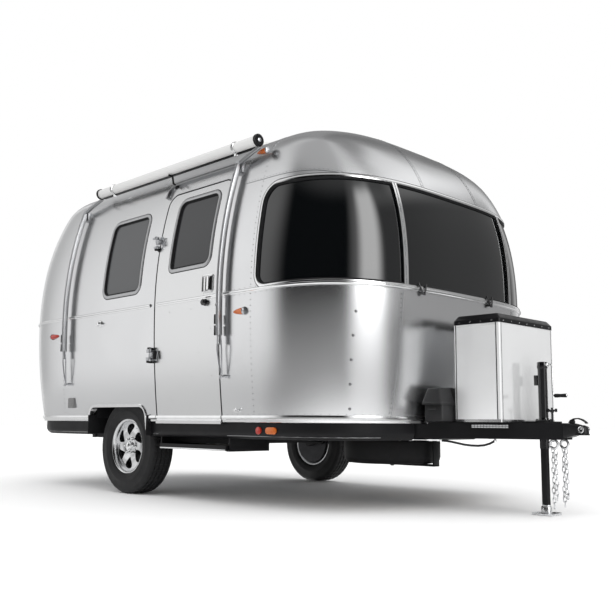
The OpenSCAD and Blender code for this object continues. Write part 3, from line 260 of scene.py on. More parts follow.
class Shape:
    """Collects parts of one joined mesh, in millimetres."""

    def __init__(self):
        self.verts, self.faces, self.tags = [], [], []

    def add(self, verts, faces, tag=0):
        """Adds points and faces; tag is the faces' material slot."""
        start = len(self.verts)
        self.verts += [Vector(v) for v in verts]
        self.faces += [[start + i for i in f] for f in faces]
        self.tags += [tag] * len(faces)

    def grid(self, rows, closed_u=False, closed_v=False, tag=0):
        """Faces between rows of points; closed_u joins each row's ends, closed_v the first and last row."""
        n, m = len(rows), len(rows[0])
        faces = []
        for i in range(n if closed_v else n - 1):
            for j in range(m if closed_u else m - 1):
                a, b = i * m + j, i * m + (j + 1) % m
                c, d = ((i + 1) % n) * m + (j + 1) % m, ((i + 1) % n) * m + j
                faces.append([a, b, c, d])
        self.add([p for row in rows for p in row], faces, tag)

    def ends(self, start, rings, size, tag=0, flip=False):
        """Closes the first and last ring of a grid whose points begin at start."""
        first = [start + j for j in range(size)]
        last = [start + (rings - 1) * size + j for j in reversed(range(size))]
        self.faces += [first[::-1], last[::-1]] if flip else [first, last]
        self.tags += [tag, tag]

    def cap(self, ring, flip=False):
        """One face over a ring of points."""
        order = list(range(len(ring)))
        self.add(ring, [order[::-1] if flip else order])

    def sweep(self, path, profile, closed=False, tag=0):
        """path holds (point, normal); profile holds (across, out) offsets, across being tangent x normal."""
        n = len(path)
        rows = []
        for i, (p, up) in enumerate(path):
            before = path[(i - 1) % n][0] if closed or i > 0 else p
            after = path[(i + 1) % n][0] if closed or i < n - 1 else p
            along = (after - before).normalized()
            across = along.cross(up).normalized()
            out = across.cross(along)
            rows.append([p + across * a + out * b for a, b in profile])
        start = len(self.verts)
        self.grid(rows, closed_u=True, closed_v=closed, tag=tag)
        if not closed:
            self.ends(start, n, len(profile), tag)

    def tube(self, points, r, sides=12, closed=False):
        """Round bar of radius r along points."""
        points = [Vector(p) for p in points]
        rows, up = [], None
        n = len(points)
        for i, p in enumerate(points):
            before = points[(i - 1) % n] if closed or i > 0 else p
            after = points[(i + 1) % n] if closed or i < n - 1 else p
            along = (after - before).normalized()
            if up is None:
                up = along.orthogonal().normalized()
            up = (up - along * up.dot(along)).normalized()
            side = along.cross(up)
            rows.append([p + (up * cos(a) + side * sin(a)) * r for a in turns(sides)])
        start = len(self.verts)
        self.grid(rows, closed_u=True, closed_v=closed)
        if not closed:
            self.ends(start, n, sides, flip=True)

    def lathe(self, profile, centre, axis, n=48):
        """profile holds (radius, distance along the axis)."""
        axis = Vector(axis).normalized()
        u = axis.orthogonal().normalized()
        w = axis.cross(u)
        centre = Vector(centre)
        rows = []
        for r, h in profile:
            rows.append([centre + axis * h + (u * cos(a) + w * sin(a)) * max(r, 0.01) for a in turns(n)])
        self.grid(rows, closed_u=True)

    def rod(self, r, a, b, centre, axis, n=20):
        """Round bar with flat ends, from a to b along the axis."""
        self.lathe([(0.1, a), (r, a), (r, b), (0.1, b)], centre, axis, n)

    def box(self, corner, opposite, bevel=2.0, matrix=None, segments=2):
        """Box with rounded edges between two opposite corners."""
        low, high = (Vector([pick(pair) for pair in zip(corner, opposite)]) for pick in (min, max))
        bm = bmesh.new()
        bmesh.ops.create_cube(bm, size=1.0)
        size, mid = high - low, (high + low) / 2
        for v in bm.verts:
            v.co = Vector((v.co.x * size.x, v.co.y * size.y, v.co.z * size.z)) + mid
        bevel = min(bevel, 0.45 * min(size))
        if bevel > 0:
            bmesh.ops.bevel(bm, geom=bm.edges[:], offset=bevel, segments=segments, affect="EDGES",
                            profile=0.6)
        self.merge(bm, matrix)

    def prism(self, outline, place, depth, bevel):
        """Extruded outline with its top edge bevelled; place(u, v, w) gives a point, w from 0 to depth."""
        bm = bmesh.new()
        base = [bm.verts.new((u, v, 0)) for u, v in outline]
        face = bm.faces.new(base)
        top = bmesh.ops.extrude_face_region(bm, geom=[face])["geom"]
        for v in (g for g in top if isinstance(g, bmesh.types.BMVert)):
            v.co.z = depth
        rim = [e for e in bm.edges if all(abs(v.co.z - depth) < 1e-6 for v in e.verts)]
        bmesh.ops.bevel(bm, geom=rim, offset=bevel, segments=2, affect="EDGES", profile=0.6)
        for v in bm.verts:
            v.co = place(*v.co)
        self.merge(bm)

    def merge(self, bm, matrix=None):
        """Adds the faces of a bmesh and frees it."""
        bm.verts.index_update()
        verts = [matrix @ v.co if matrix else v.co.copy() for v in bm.verts]
        self.add(verts, [[v.index for v in f.verts] for f in bm.faces])
        bm.free()

    def rivet(self, p, n, r=3.4, h=1.5, sides=7):
        """Domed head of radius r and height h."""
        u = n.orthogonal().normalized()
        w = n.cross(u)
        rings = [(r, -0.3), (r * 0.8, h * 0.75)]
        verts = [p + n * z + (u * cos(a) + w * sin(a)) * k for k, z in rings for a in turns(sides)]
        verts.append(p + n * h)
        faces = [[i, (i + 1) % sides, sides + (i + 1) % sides, sides + i] for i in range(sides)]
        faces += [[sides + i, sides + (i + 1) % sides, 2 * sides] for i in range(sides)]
        self.add(verts, faces)

    def rivets(self, path, pitch, r):
        """Rivets along a path of (point, normal), standing on the lap of a seam."""
        left = pitch / 2
        for (p, n), (q, m) in unclosed(path):
            gap = (q - p).length
            while left <= gap:
                up = n.lerp(m, left / gap).normalized()
                self.rivet(p.lerp(q, left / gap) + up, up, r, 0.5 * r)
                left += pitch
            left -= gap

    def build(self, name, finish, body="root", replaces=(), sharp=34, weld=0.0):
        """Makes the object, smooth but for edges sharper than the angle, and rides it on its body."""
        mesh = bpy.data.meshes.new(name)
        bm = bmesh.new()
        made = [bm.verts.new(v * MM) for v in self.verts]
        for f, tag in zip(self.faces, self.tags):
            ring = [made[i] for i in dict.fromkeys(f)]
            if len(ring) > 2:
                try:
                    bm.faces.new(ring).material_index = tag
                except ValueError:
                    continue  # the same face is already there
        if weld:
            bmesh.ops.remove_doubles(bm, verts=bm.verts, dist=weld * MM)
            bmesh.ops.dissolve_degenerate(bm, edges=bm.edges, dist=1e-6)
        bmesh.ops.recalc_face_normals(bm, faces=bm.faces)
        for f in bm.faces:
            f.smooth = True
        for e in bm.edges:
            e.smooth = len(e.link_faces) == 2 and e.calc_face_angle(0) < radians(sharp)
        bm.to_mesh(mesh)
        bm.free()
        obj = bpy.data.objects.new(name, mesh)
        bpy.context.collection.objects.link(obj)
        for m in finish if isinstance(finish, (list, tuple)) else [finish]:
            mesh.materials.append(m)
        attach(obj, body)
        if replaces:
            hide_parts(*replaces)
        return obj


def rounded(x0, x1, z0, z1, r, n=6):
    """Outline of a rounded rectangle, counter-clockwise; r is one radius or four from the low left."""
    radii = r if isinstance(r, (list, tuple)) else [r] * 4
    corners = [(x0, z0, 1, 1, pi), (x1, z0, -1, 1, 1.5 * pi), (x1, z1, -1, -1, 0),
               (x0, z1, 1, -1, pi / 2)]
    out = []
    for (x, z, sx, sz, a0), rr in zip(corners, radii):
        for i in range(n + 1):
            a = a0 + pi / 2 * i / n
            out.append((x + sx * rr + rr * cos(a), z + sz * rr + rr * sin(a)))
    return out


def cut(poly, a, b):
    """Splits a convex polygon by the line a-b into (left part, right part)."""
    nx, ny = -(b[1] - a[1]), b[0] - a[0]
    size = hypot(nx, ny)
    left, right = [], []
    for p, q in zip(poly, poly[1:] + poly[:1]):
        dp = ((p[0] - a[0]) * nx + (p[1] - a[1]) * ny) / size
        dq = ((q[0] - a[0]) * nx + (q[1] - a[1]) * ny) / size
        if dp >= -1e-6:
            left.append(p)
        if dp <= 1e-6:
            right.append(p)
        if (dp > 1e-6 and dq < -1e-6) or (dp < -1e-6 and dq > 1e-6):
            t = dp / (dp - dq)
            m = (p[0] + (q[0] - p[0]) * t, p[1] + (q[1] - p[1]) * t)
            left.append(m)
            right.append(m)
    return left, right


def area(poly):
    """Signed area of a polygon."""
    return 0.5 * sum(p[0] * q[1] - q[0] * p[1] for p, q in zip(poly, poly[1:] + poly[:1]))


def carve(poly, outline, keep_inside):
    """The parts of a convex cell inside, or outside, a convex counter-clockwise outline."""
    rest, outside = poly, []
    for a, b in zip(outline, outline[1:] + outline[:1]):
        if hypot(b[0] - a[0], b[1] - a[1]) < 1e-6:
            continue
        rest, off = cut(rest, a, b)
        if len(off) > 2 and abs(area(off)) > 0.5:
            outside.append(off)
        if len(rest) < 3 or abs(area(rest)) < 0.5:
            return [] if keep_inside else outside
    return [rest] if keep_inside else outside


def overlaps(poly, outline):
    """Whether the bounds of a cell and an outline overlap."""
    us, vs = [p[0] for p in outline], [p[1] for p in outline]
    return (max(p[0] for p in poly) > min(us) and min(p[0] for p in poly) < max(us)
            and max(p[1] for p in poly) > min(vs) and min(p[1] for p in poly) < max(vs))


def spread(a, b, step):
    """Even values from a to b, at most a step apart."""
    n = max(1, ceil(abs(b - a) / step))
    return [a + (b - a) * i / n for i in range(n + 1)]


def panel(surface, us, vs, depth, inside=None, holes=(), skin=0.0):
    """A curved panel of the shell with its true thickness, cut to outlines in (u, v)."""
    polys = []
    for u0, u1 in unclosed(us):
        for v0, v1 in unclosed(vs):
            cells = [[(u0, v0), (u1, v0), (u1, v1), (u0, v1)]]
            if inside:
                cells = [c for cell in cells for c in carve(cell, inside, True)]
            for hole in holes:
                cells = [c for cell in cells
                         for c in (carve(cell, hole, False) if overlaps(cell, hole) else [cell])]
            polys += cells
    index, points, faces = {}, [], []
    for poly in polys:
        face = []
        for p in poly:
            key = (round(p[0], 2), round(p[1], 2))
            if key not in index:
                index[key] = len(points)
                points.append(p)
            if not face or face[-1] != index[key]:
                face.append(index[key])
        if face[0] == face[-1]:
            face.pop()
        if len(face) > 2:
            faces.append(face)
    n = len(points)
    uses = {}
    for f in faces:
        for a, b in zip(f, f[1:] + f[:1]):
            uses[(a, b)] = uses.get((a, b), 0) + 1
    shape = Shape()
    verts = [surface(u, v, skin) for u, v in points] + [surface(u, v, skin + depth) for u, v in points]
    out = faces + [[i + n for i in reversed(f)] for f in faces]
    out += [[b, a, a + n, b + n] for (a, b) in uses if (b, a) not in uses]
    shape.add(verts, out)
    return shape


# ---- Materials ----
def material(name, color, metallic=0.0, rough=0.5, tone=0.0, tone_scale=3.0, rough_var=0.0, rough_scale=8.0,
             bump=0.0, bump_scale=60.0, stretch=(1, 1, 1), coat=0.0, spec=0.5):
    """Procedural finish: colour and roughness that vary over the surface, and a fine relief."""
    m = bpy.data.materials.new(name)
    m.use_nodes = True
    nodes, links = m.node_tree.nodes, m.node_tree.links
    shader = nodes["Principled BSDF"]
    shader.inputs["Base Color"].default_value = (*color, 1)
    shader.inputs["Metallic"].default_value = metallic
    shader.inputs["Roughness"].default_value = rough
    shader.inputs["Specular IOR Level"].default_value = spec
    shader.inputs["Coat Weight"].default_value = coat
    shader.inputs["Coat Roughness"].default_value = 0.08
    place = nodes.new("ShaderNodeTexCoord")
    scale = nodes.new("ShaderNodeMapping")
    scale.inputs["Scale"].default_value = stretch
    links.new(place.outputs["Object"], scale.inputs["Vector"])

    def noise(size, detail=3.0):
        n = nodes.new("ShaderNodeTexNoise")
        n.inputs["Scale"].default_value = size
        n.inputs["Detail"].default_value = detail
        links.new(scale.outputs["Vector"], n.inputs["Vector"])
        return n.outputs["Fac"]

    def varied(fac, low, high):
        ramp = nodes.new("ShaderNodeMapRange")
        ramp.interpolation_type = "SMOOTHSTEP"
        for key, value in zip(("From Min", "From Max", "To Min", "To Max"), (0.15, 0.85, low, high)):
            ramp.inputs[key].default_value = value
        links.new(fac, ramp.inputs["Value"])
        return ramp.outputs["Result"]

    if tone:
        tint = nodes.new("ShaderNodeVectorMath")
        tint.operation = "SCALE"
        tint.inputs[0].default_value = color
        links.new(varied(noise(tone_scale), 1 - tone, 1 + tone), tint.inputs["Scale"])
        links.new(tint.outputs["Vector"], shader.inputs["Base Color"])
    if rough_var:
        rough_low, rough_high = max(0.02, rough - rough_var), min(1.0, rough + rough_var)
        links.new(varied(noise(rough_scale, 5.0), rough_low, rough_high), shader.inputs["Roughness"])
    if bump:
        relief = nodes.new("ShaderNodeBump")
        relief.inputs["Strength"].default_value = 1.0
        relief.inputs["Distance"].default_value = bump * MM
        links.new(noise(bump_scale, 4.0), relief.inputs["Height"])
        links.new(relief.outputs["Normal"], shader.inputs["Normal"])
    return m


def lamp_material(name, color, glow):
    """Coloured lens that glows a little."""
    m = material(name, color, rough=0.12, coat=0.6, bump=0.4, bump_scale=160, tone=0.06, tone_scale=40)
    shader = m.node_tree.nodes["Principled BSDF"]
    shader.inputs["Subsurface Weight"].default_value = 0.15
    shader.inputs["Emission Color"].default_value = (*color, 1)
    shader.inputs["Emission Strength"].default_value = glow
    return m


ALUMINIUM = material("satin_aluminium", (0.80, 0.805, 0.815), 1.0, 0.24, tone=0.02, tone_scale=1.6,
                     rough_var=0.03, rough_scale=2.5)
ROOF_METAL = material("roof_aluminium", (0.76, 0.765, 0.775), 1.0, 0.33, tone=0.03, tone_scale=1.6,
                      rough_var=0.03, rough_scale=2.5)
DOOR_METAL = material("door_aluminium", (0.815, 0.82, 0.825), 1.0, 0.27, tone=0.012, tone_scale=1.2)
# Grey strip beside each seam lap: painted shade where the lap steps down to the skin. It is also the door
# lining bead's own colour.
SEAM_SHADE_AND_BEAD_METAL = material("seam_shade_and_bead_metal", (0.40, 0.41, 0.42), 1.0, 0.35, tone=0.05, tone_scale=14)
# Rivet and screw heads far darker than the skin: painted shade that stands for the shadow round each head.
RIVET_SHADE_METAL = material("rivet_shade_metal", (0.26, 0.262, 0.268), 1.0, 0.3, tone=0.08, tone_scale=60)
BRIGHT = material("bright_trim", (0.93, 0.935, 0.94), 1.0, 0.16, tone=0.02, tone_scale=12,
                  rough_var=0.05, rough_scale=30)
FRAME_METAL = material("window_frame_metal", (0.52, 0.525, 0.535), 1.0, 0.3, tone=0.03, tone_scale=12,
                       rough_var=0.04, rough_scale=30)
ANODISED = material("anodised_arm", (0.42, 0.425, 0.435), 1.0, 0.32, tone=0.03, tone_scale=9,
                    rough_var=0.06, rough_scale=40, stretch=(1, 1, 0.1))
GLASS = material("dark_glass", (0.003, 0.0035, 0.004), 0.0, 0.035, rough_var=0.01, rough_scale=3, spec=0.85)
SIDE_GLASS = material("side_glass", (0.075, 0.077, 0.08), 0.0, 0.06, rough_var=0.01, rough_scale=4, spec=0.4)
DOOR_GLASS = material("door_glass", (0.03, 0.031, 0.033), 0.0, 0.06, rough_var=0.01, rough_scale=4, spec=0.4)
RUBBER = material("black_rubber", (0.008, 0.008, 0.009), 0.0, 0.55, tone=0.15, tone_scale=30, bump=0.2,
                  bump_scale=220, spec=0.25)
BLACK = material("black_paint", (0.006, 0.006, 0.007), 0.0, 0.36, tone=0.2, tone_scale=6, rough_var=0.1,
                 rough_scale=20, spec=0.22)
SKIRT = material("skirt_paint", (0.006, 0.006, 0.007), 0.0, 0.42, tone=0.15, tone_scale=4, rough_var=0.08,
                 rough_scale=10, spec=0.2)
AMBER = lamp_material("amber_lens", (0.45, 0.10, 0.01), 0.10)
RED = lamp_material("red_lens", (0.34, 0.02, 0.01), 0.10)

TYRE = material("tyre_rubber", (0.011, 0.011, 0.012), 0.0, 0.62, tone=0.12, tone_scale=20, rough_var=0.08,
                rough_scale=12, bump=0.25, bump_scale=200, spec=0.4)
CHROME = material("polished_alloy", (0.74, 0.745, 0.755), 1.0, 0.20, tone=0.03, tone_scale=10, rough_var=0.04,
                  rough_scale=20, bump=0.1, bump_scale=30)
DARK_METAL = material("brake_drum", (0.035, 0.035, 0.038), 0.6, 0.45, tone=0.2, tone_scale=12, bump=0.2,
                      bump_scale=120)
FABRIC = material("awning_fabric", (0.66, 0.66, 0.655), 0.0, 0.62, tone=0.03, tone_scale=6, bump=0.25,
                  bump_scale=300, stretch=(0.15, 1, 1))
HINGE = material("cast_zinc", (0.58, 0.59, 0.61), 1.0, 0.34, tone=0.05, tone_scale=30, rough_var=0.08,
                 rough_scale=60, bump=0.08, bump_scale=120)
GLOSS_BLACK = material("gloss_black", (0.005, 0.005, 0.006), 0.0, 0.10, tone=0.1, tone_scale=8,
                       rough_var=0.04, rough_scale=20, coat=0.5)
COVER = material("polished_sheet", (0.93, 0.935, 0.94), 0.4, 0.10, tone=0.012, tone_scale=3, rough_var=0.02,
                 rough_scale=5)
COVER_SIDE = material("satin_sheet", (0.88, 0.885, 0.89), 0.4, 0.35, tone=0.02, tone_scale=4, rough_var=0.05,
                      rough_scale=16)
LID_BLACK = material("lid_black", (0.006, 0.006, 0.007), 0.0, 0.34, tone=0.15, tone_scale=10, rough_var=0.08,
                     rough_scale=20, bump=0.1, bump_scale=200, spec=0.25)
BATTERY = material("battery_plastic", (0.024, 0.024, 0.025), 0.0, 0.36, tone=0.12, tone_scale=14,
                   rough_var=0.06, rough_scale=30, bump=0.2, bump_scale=240, spec=0.3)
WEBBING = material("webbing", (0.014, 0.014, 0.015), 0.0, 0.7, tone=0.2, tone_scale=60, bump=0.4,
                   bump_scale=320, stretch=(1, 0.3, 1))
GALVANISED = material("galvanised", (0.84, 0.85, 0.86), 1.0, 0.30, tone=0.10, tone_scale=40, rough_var=0.12,
                      rough_scale=50, bump=0.15, bump_scale=90)
CASTING = material("cast_black", (0.008, 0.008, 0.009), 0.0, 0.38, tone=0.2, tone_scale=20, rough_var=0.1,
                   rough_scale=30, bump=0.35, bump_scale=140, spec=0.3)
REFLECTOR = material("reflector_prisms", (0.72, 0.73, 0.74), 0.5, 0.2, tone=0.08, tone_scale=50, bump=0.3,
                     bump_scale=400)
GREY_PLASTIC = material("grey_plastic", (0.20, 0.20, 0.20), 0.0, 0.5, tone=0.05, tone_scale=20, bump=0.1,
                        bump_scale=200)
WHITE_PLASTIC = material("white_plastic", (0.78, 0.78, 0.76), 0.0, 0.42, tone=0.03, tone_scale=6, bump=0.12,
                         bump_scale=160)
SMOKED = material("smoked_lid", (0.12, 0.12, 0.125), 0.0, 0.18, tone=0.05, tone_scale=5, coat=0.3)
PLY = material("ply_floor", (0.30, 0.20, 0.11), 0.0, 0.6, tone=0.2, tone_scale=4, stretch=(0.2, 2, 2),
               bump=0.2, bump_scale=60)
PAN = material("belly_metal", (0.34, 0.345, 0.35), 1.0, 0.45, tone=0.08, tone_scale=4, bump=0.3,
               bump_scale=10)
FLOOR = material("floor", (0.93, 0.93, 0.93), 0.0, 0.8, tone=0.004, tone_scale=0.4, spec=0.0)
HOSE = material("hose_rubber", (0.015, 0.015, 0.016), 0.0, 0.4, tone=0.15, tone_scale=40, bump=0.15,
                bump_scale=300)


# ---- Layout of the shell's openings ----
DOOR_X0, DOOR_Z0, DOOR_X1, DOOR_Z1 = [round(c) for corner in cad("entry_door") for c in corner.xz]
DOOR_R, DOOR_GAP = 90, 5
WINDOW_R, PANE_W = 60, 490
DOOR_PANE = (cad("door_window")[0].x, cad("door_window")[1].x, 1640, 2165)
DOOR_PANE_R = [28, 60, 60, 60]


def side_pane(x):
    """Opening of a side window centred at x: first and last x, lowest and highest z."""
    return x - PANE_W / 2, x + PANE_W / 2, 1530, 2130


SIDE_PANE = side_pane(BAY_X0 + 854)
GALLEY_PANE = side_pane((DOOR_PANE[0] + DOOR_PANE[1]) / 2)
AXLE_X, AXLE_Y, AXLE_Z = BAY_X0 + 851, 1024.5, 359
ARCH_X0, ARCH_X1, ARCH_TOP, ARCH_R = AXLE_X - 450, AXLE_X + 314, 656, 70
HATCH = (BAY_X1 - 660, BAY_X1 - 100, 650, 980)
FRONT_PANE_Z, FRONT_PANE_X, PILLAR_Y = (1420, 2104), 893, 617
REAR_PANE_Z, REAR_PANE_Y = (1560, 2040), 592
# Size of a panel's cells, and height of the foot rail
CELL = 42
FOOT_Z = 570

FRONT_S = -nose_s(FRONT_PANE_X, sum(FRONT_PANE_Z) / 2)
V_FRONT = [v_at(z) for z in FRONT_PANE_Z]
FRONT_HOLE = rounded(-FRONT_S, FRONT_S, *V_FRONT, [80, 80, 130, 130], 10)
V_REAR = [v_at(z) for z in REAR_PANE_Z]
REAR_S = abs(at_y(tail, TAIL_S, REAR_PANE_Y, sum(V_REAR) / 2))
REAR_HOLE = rounded(-REAR_S, REAR_S, *V_REAR, 70, 8)
# The domes' paths leave out both ends, which belong to the bay
NOSE_STEPS = spread(-NOSE_S, NOSE_S, 30)[1:-1]
TAIL_STEPS = spread(-TAIL_S, TAIL_S, 30)[1:-1]

# Profiles of swept trim: (across, out) from the path
WINDOW_FRAME = [(-24, 0.3), (-22, 4), (-16, 6), (-4, 6.5), (2, 4), (3, -10), (-4, -10), (-5, 0.3)]
GASKET = [(0, -1), (2, 2.5), (5, 3), (14, -6), (14, -16), (0, -16)]
FRAME_BEAD = [(-28.5, 0.2), (-28.5, 1.2), (-23.5, 1.2), (-23.5, 0.2)]
BELT_RAIL = [(-13, 0.3), (-12, 6), (-7, 11), (0, 12), (5, 9), (7, 5), (12, 4.5), (13, 0.3)]
FOOT_RAIL = [(-23, 0.3), (-22, 9), (-15, 12), (-2, 12), (3, 8), (6, 5), (20, 5), (23, 2), (23, 0.3)]
ARCH_BAND = [(-22, 0.3), (-22, 6), (-18, 9), (-5, 9), (0, 6), (2, -20), (-1, -20), (-3, 0.3)]
LAP = [(-11, 0.15), (-11, 1.1), (10, 1.1), (11, 0.15)]
# Thin strip along the lap's edge that carries painted shade.
SEAM_SHADE_LINE = [(10.2, 0.3), (10.2, 1.5), (13.6, 1.5), (13.6, 0.3)]


def shell():
    """The smooth skins that stand for the faceted walls, roof and domes."""
    arch_hole = raised(rounded(ARCH_X0, ARCH_X1, SILL_Z - 200, ARCH_TOP, ARCH_R, 10))
    door_hole = raised(rounded(DOOR_X0 - DOOR_GAP, DOOR_X1 + DOOR_GAP, DOOR_Z0 - 300, DOOR_Z1 + DOOR_GAP,
                               DOOR_R + DOOR_GAP, 10))
    side_hole, galley_hole = (raised(rounded(*pane, WINDOW_R, 8)) for pane in (SIDE_PANE, GALLEY_PANE))
    hatch_hole = raised(rounded(HATCH[0] - 5, HATCH[1] + 5, HATCH[2] - 5, HATCH[3] + 5, 30, 6))
    xs = spread(BAY_X0, BAY_X1, CELL)
    wall_vs = spread(0, V_BELT, CELL) + spread(V_BELT, V_WALL, CELL)[1:]
    shoulder_vs = spread(V_WALL, V_SHOULDER, 20)
    roof_vs = shoulder_vs + spread(V_SHOULDER, road_v(V_SHOULDER), 60)[1:]
    roof_vs += spread(road_v(V_SHOULDER), road_v(V_WALL), 20)[1:]
    dome_vs = wall_vs + shoulder_vs[1:] + spread(V_SHOULDER, V_CROWN - 1, 45)[1:] + [V_CROWN]
    kerb_holes = [arch_hole, door_hole, side_hole]
    panel(bay, xs, wall_vs, WALL_T, holes=kerb_holes).build(
        "kerb_wall_skin", ALUMINIUM, replaces=["side_wall_right"])
    road_holes = [mirrored(h) for h in (arch_hole, side_hole, galley_hole, hatch_hole)]
    panel(bay, xs, [road_v(v) for v in reversed(wall_vs)], WALL_T, holes=road_holes).build(
        "road_wall_skin", ALUMINIUM, replaces=["side_wall_left"])
    panel(bay, xs, roof_vs, WALL_T).build("roof_skin", ROOF_METAL, replaces=["roof_panel"])
    for name, end, half, hole, node in (("nose_skin", nose, NOSE_S, FRONT_HOLE, "front_dome"),
                                        ("tail_skin", tail, TAIL_S, REAR_HOLE, "rear_dome")):
        panel(end, spread(-half, half, CELL), dome_vs, WALL_T, holes=[hole]).build(
            name, ALUMINIUM, replaces=[node], weld=0.4)


def window(surface, outline, name, glass, body="root", replaces=()):
    """Pane, rubber gasket and bright frame round one opening; the outline is counter-clockwise."""
    us, vs = [p[0] for p in outline], [p[1] for p in outline]
    pad, thick, recess = 4, 8, 12
    spread_u = spread(min(us) - pad, max(us) + pad, 60)
    spread_v = spread(min(vs) - pad, max(vs) + pad, 60)
    panel(surface, spread_u, spread_v, thick, inside=outline, skin=recess).build(
        name + "_glass", glass, body, replaces)
    path = on(surface, outline)
    rubber, bright = Shape(), Shape()
    for shape, profile in ((rubber, GASKET), (rubber, FRAME_BEAD), (bright, WINDOW_FRAME)):
        shape.sweep(path, [(-a, b) for a, b in profile], closed=True)
    rubber.build(name + "_gasket", RUBBER, body)
    bright.build(name + "_frame", BRIGHT if glass is GLASS else FRAME_METAL, body)


def resample(outline, step, closed=True):
    """The same outline with points at most a step apart."""
    pts = outline + outline[:1] if closed else outline
    out = []
    for (a, b), (c, d) in unclosed(pts):
        n = max(1, ceil(hypot(c - a, d - b) / step))
        out += [(a + (c - a) * i / n, b + (d - b) * i / n) for i in range(n)]
    return out if closed else out + [pts[-1]]


def windows():
    """Every window, and the two pillars that part the front one."""
    window(nose, resample(FRONT_HOLE, 40), "front", GLASS, replaces=["front_windows"])
    window(tail, resample(REAR_HOLE, 40), "rear", GLASS, replaces=["rear_window"])
    side, galley, door_pane = (resample(raised(rounded(*p, r, 8)), 50) for p, r in (
        (SIDE_PANE, WINDOW_R), (GALLEY_PANE, WINDOW_R), (DOOR_PANE, DOOR_PANE_R)))
    window(bay, side, "kerb_side", SIDE_GLASS, replaces=["side_windows"])
    window(bay, mirrored(side), "road_side", SIDE_GLASS)
    window(bay, mirrored(galley), "galley", SIDE_GLASS)
    window(bay, door_pane, "door_pane", DOOR_GLASS, "door", ["door_window"])
    pillars = Shape()
    half = 8.5
    bar = [(-half, -10), (-half, 2), (-half + 2, 6), (half - 2, 6), (half, 2), (half, -10)]
    groove = [(-3, -14), (-3, 0), (3, 0), (3, -14)]
    for side in (-1, 1):
        for off, profile, tag in ((-11, bar, 0), (11, bar, 0), (0, groove, 1)):
            line = [(at_y(nose, NOSE_S, side * (PILLAR_Y + off), v), v) for v in spread(*V_FRONT, 60)]
            pillars.sweep(on(nose, line), profile, tag=tag)
    pillars.build("front_pillars", [BRIGHT, RUBBER])


def door():
    """Skin of the door with a black strip along its rim (rubber edge and painted shade of the gap), seal and
    lining bead.
    """
    outline = raised(rounded(DOOR_X0, DOOR_X1, DOOR_Z0, DOOR_Z1, [4, 4, DOOR_R, DOOR_R], 10))
    hole = raised(rounded(*DOOR_PANE, DOOR_PANE_R, 8))
    us, vs = spread(DOOR_X0, DOOR_X1, CELL), spread(v_at(DOOR_Z0), v_at(DOOR_Z1), CELL)
    thick = WALL_T - 3
    panel(bay, us, vs, thick, inside=outline, holes=[hole]).build(
        "door_skin", DOOR_METAL, "door", ["entry_door"])
    seal_r = DOOR_R + DOOR_GAP
    opening = raised(rounded(DOOR_X0 - DOOR_GAP, DOOR_X1 + DOOR_GAP, SILL_Z + 2, DOOR_Z1 + DOOR_GAP,
                             [1, 1, seal_r, seal_r], 10))
    inner = raised(rounded(DOOR_X0 + 34, DOOR_X1 - 34, DOOR_Z0 + 60, DOOR_Z1 - 34,
                           [30, 30, DOOR_R, DOOR_R], 8))
    seal = [(-1, -26), (-1, 0), (4, 0), (4, -26)]
    bead = [(-5, -6), (-4, -0.5), (4, -0.5), (5, -6)]
    # Thin black strip on the door's rim: partly its rubber edge, partly painted shade of the gap round the
    # door.
    edge = [(-7, 0.1), (-7, 0.9), (-1, 0.9), (-1, 0.1)]
    for name, line, depth, profile, finish, body in (
            ("door_seal", opening, 9, seal, RUBBER, "root"),
            ("door_lining_bead", inner, thick, bead, SEAM_SHADE_AND_BEAD_METAL, "door"),
            ("door_edge", outline, 0, edge, RUBBER, "door")):
        strip = Shape()
        strip.sweep(on(bay, resample(line, 50), depth), profile, closed=True)
        strip.build(name, finish, body)


def hatch():
    """Skin of the road side's storage hatch."""
    x0, x1, z0, z1 = HATCH
    vs = [road_v(v) for v in reversed(spread(v_at(z0), v_at(z1), CELL))]
    outline = mirrored(raised(rounded(x0, x1, z0, z1, 25, 6)))
    panel(bay, spread(x0, x1, 56), vs, WALL_T - 3, inside=outline).build(
        "hatch_skin", DOOR_METAL, "hatch", ["hatch_door"])


def bay_run(x0, x1, v):
    """Path along the bay from x0 to x1."""
    return level_run(bay, spread(x0, x1, 80), v)


def ring_path(z, x_from, x_to):
    """Path round the shell at height z, from x_from on the kerb side by the nose and tail to x_to."""
    v = v_at(z)
    return (bay_run(x_from, BAY_X1, v) + level_run(nose, NOSE_STEPS, v)
            + bay_run(BAY_X1, BAY_X0, road_v(v)) + level_run(tail, TAIL_STEPS, v)
            + bay_run(BAY_X0, x_to, v))


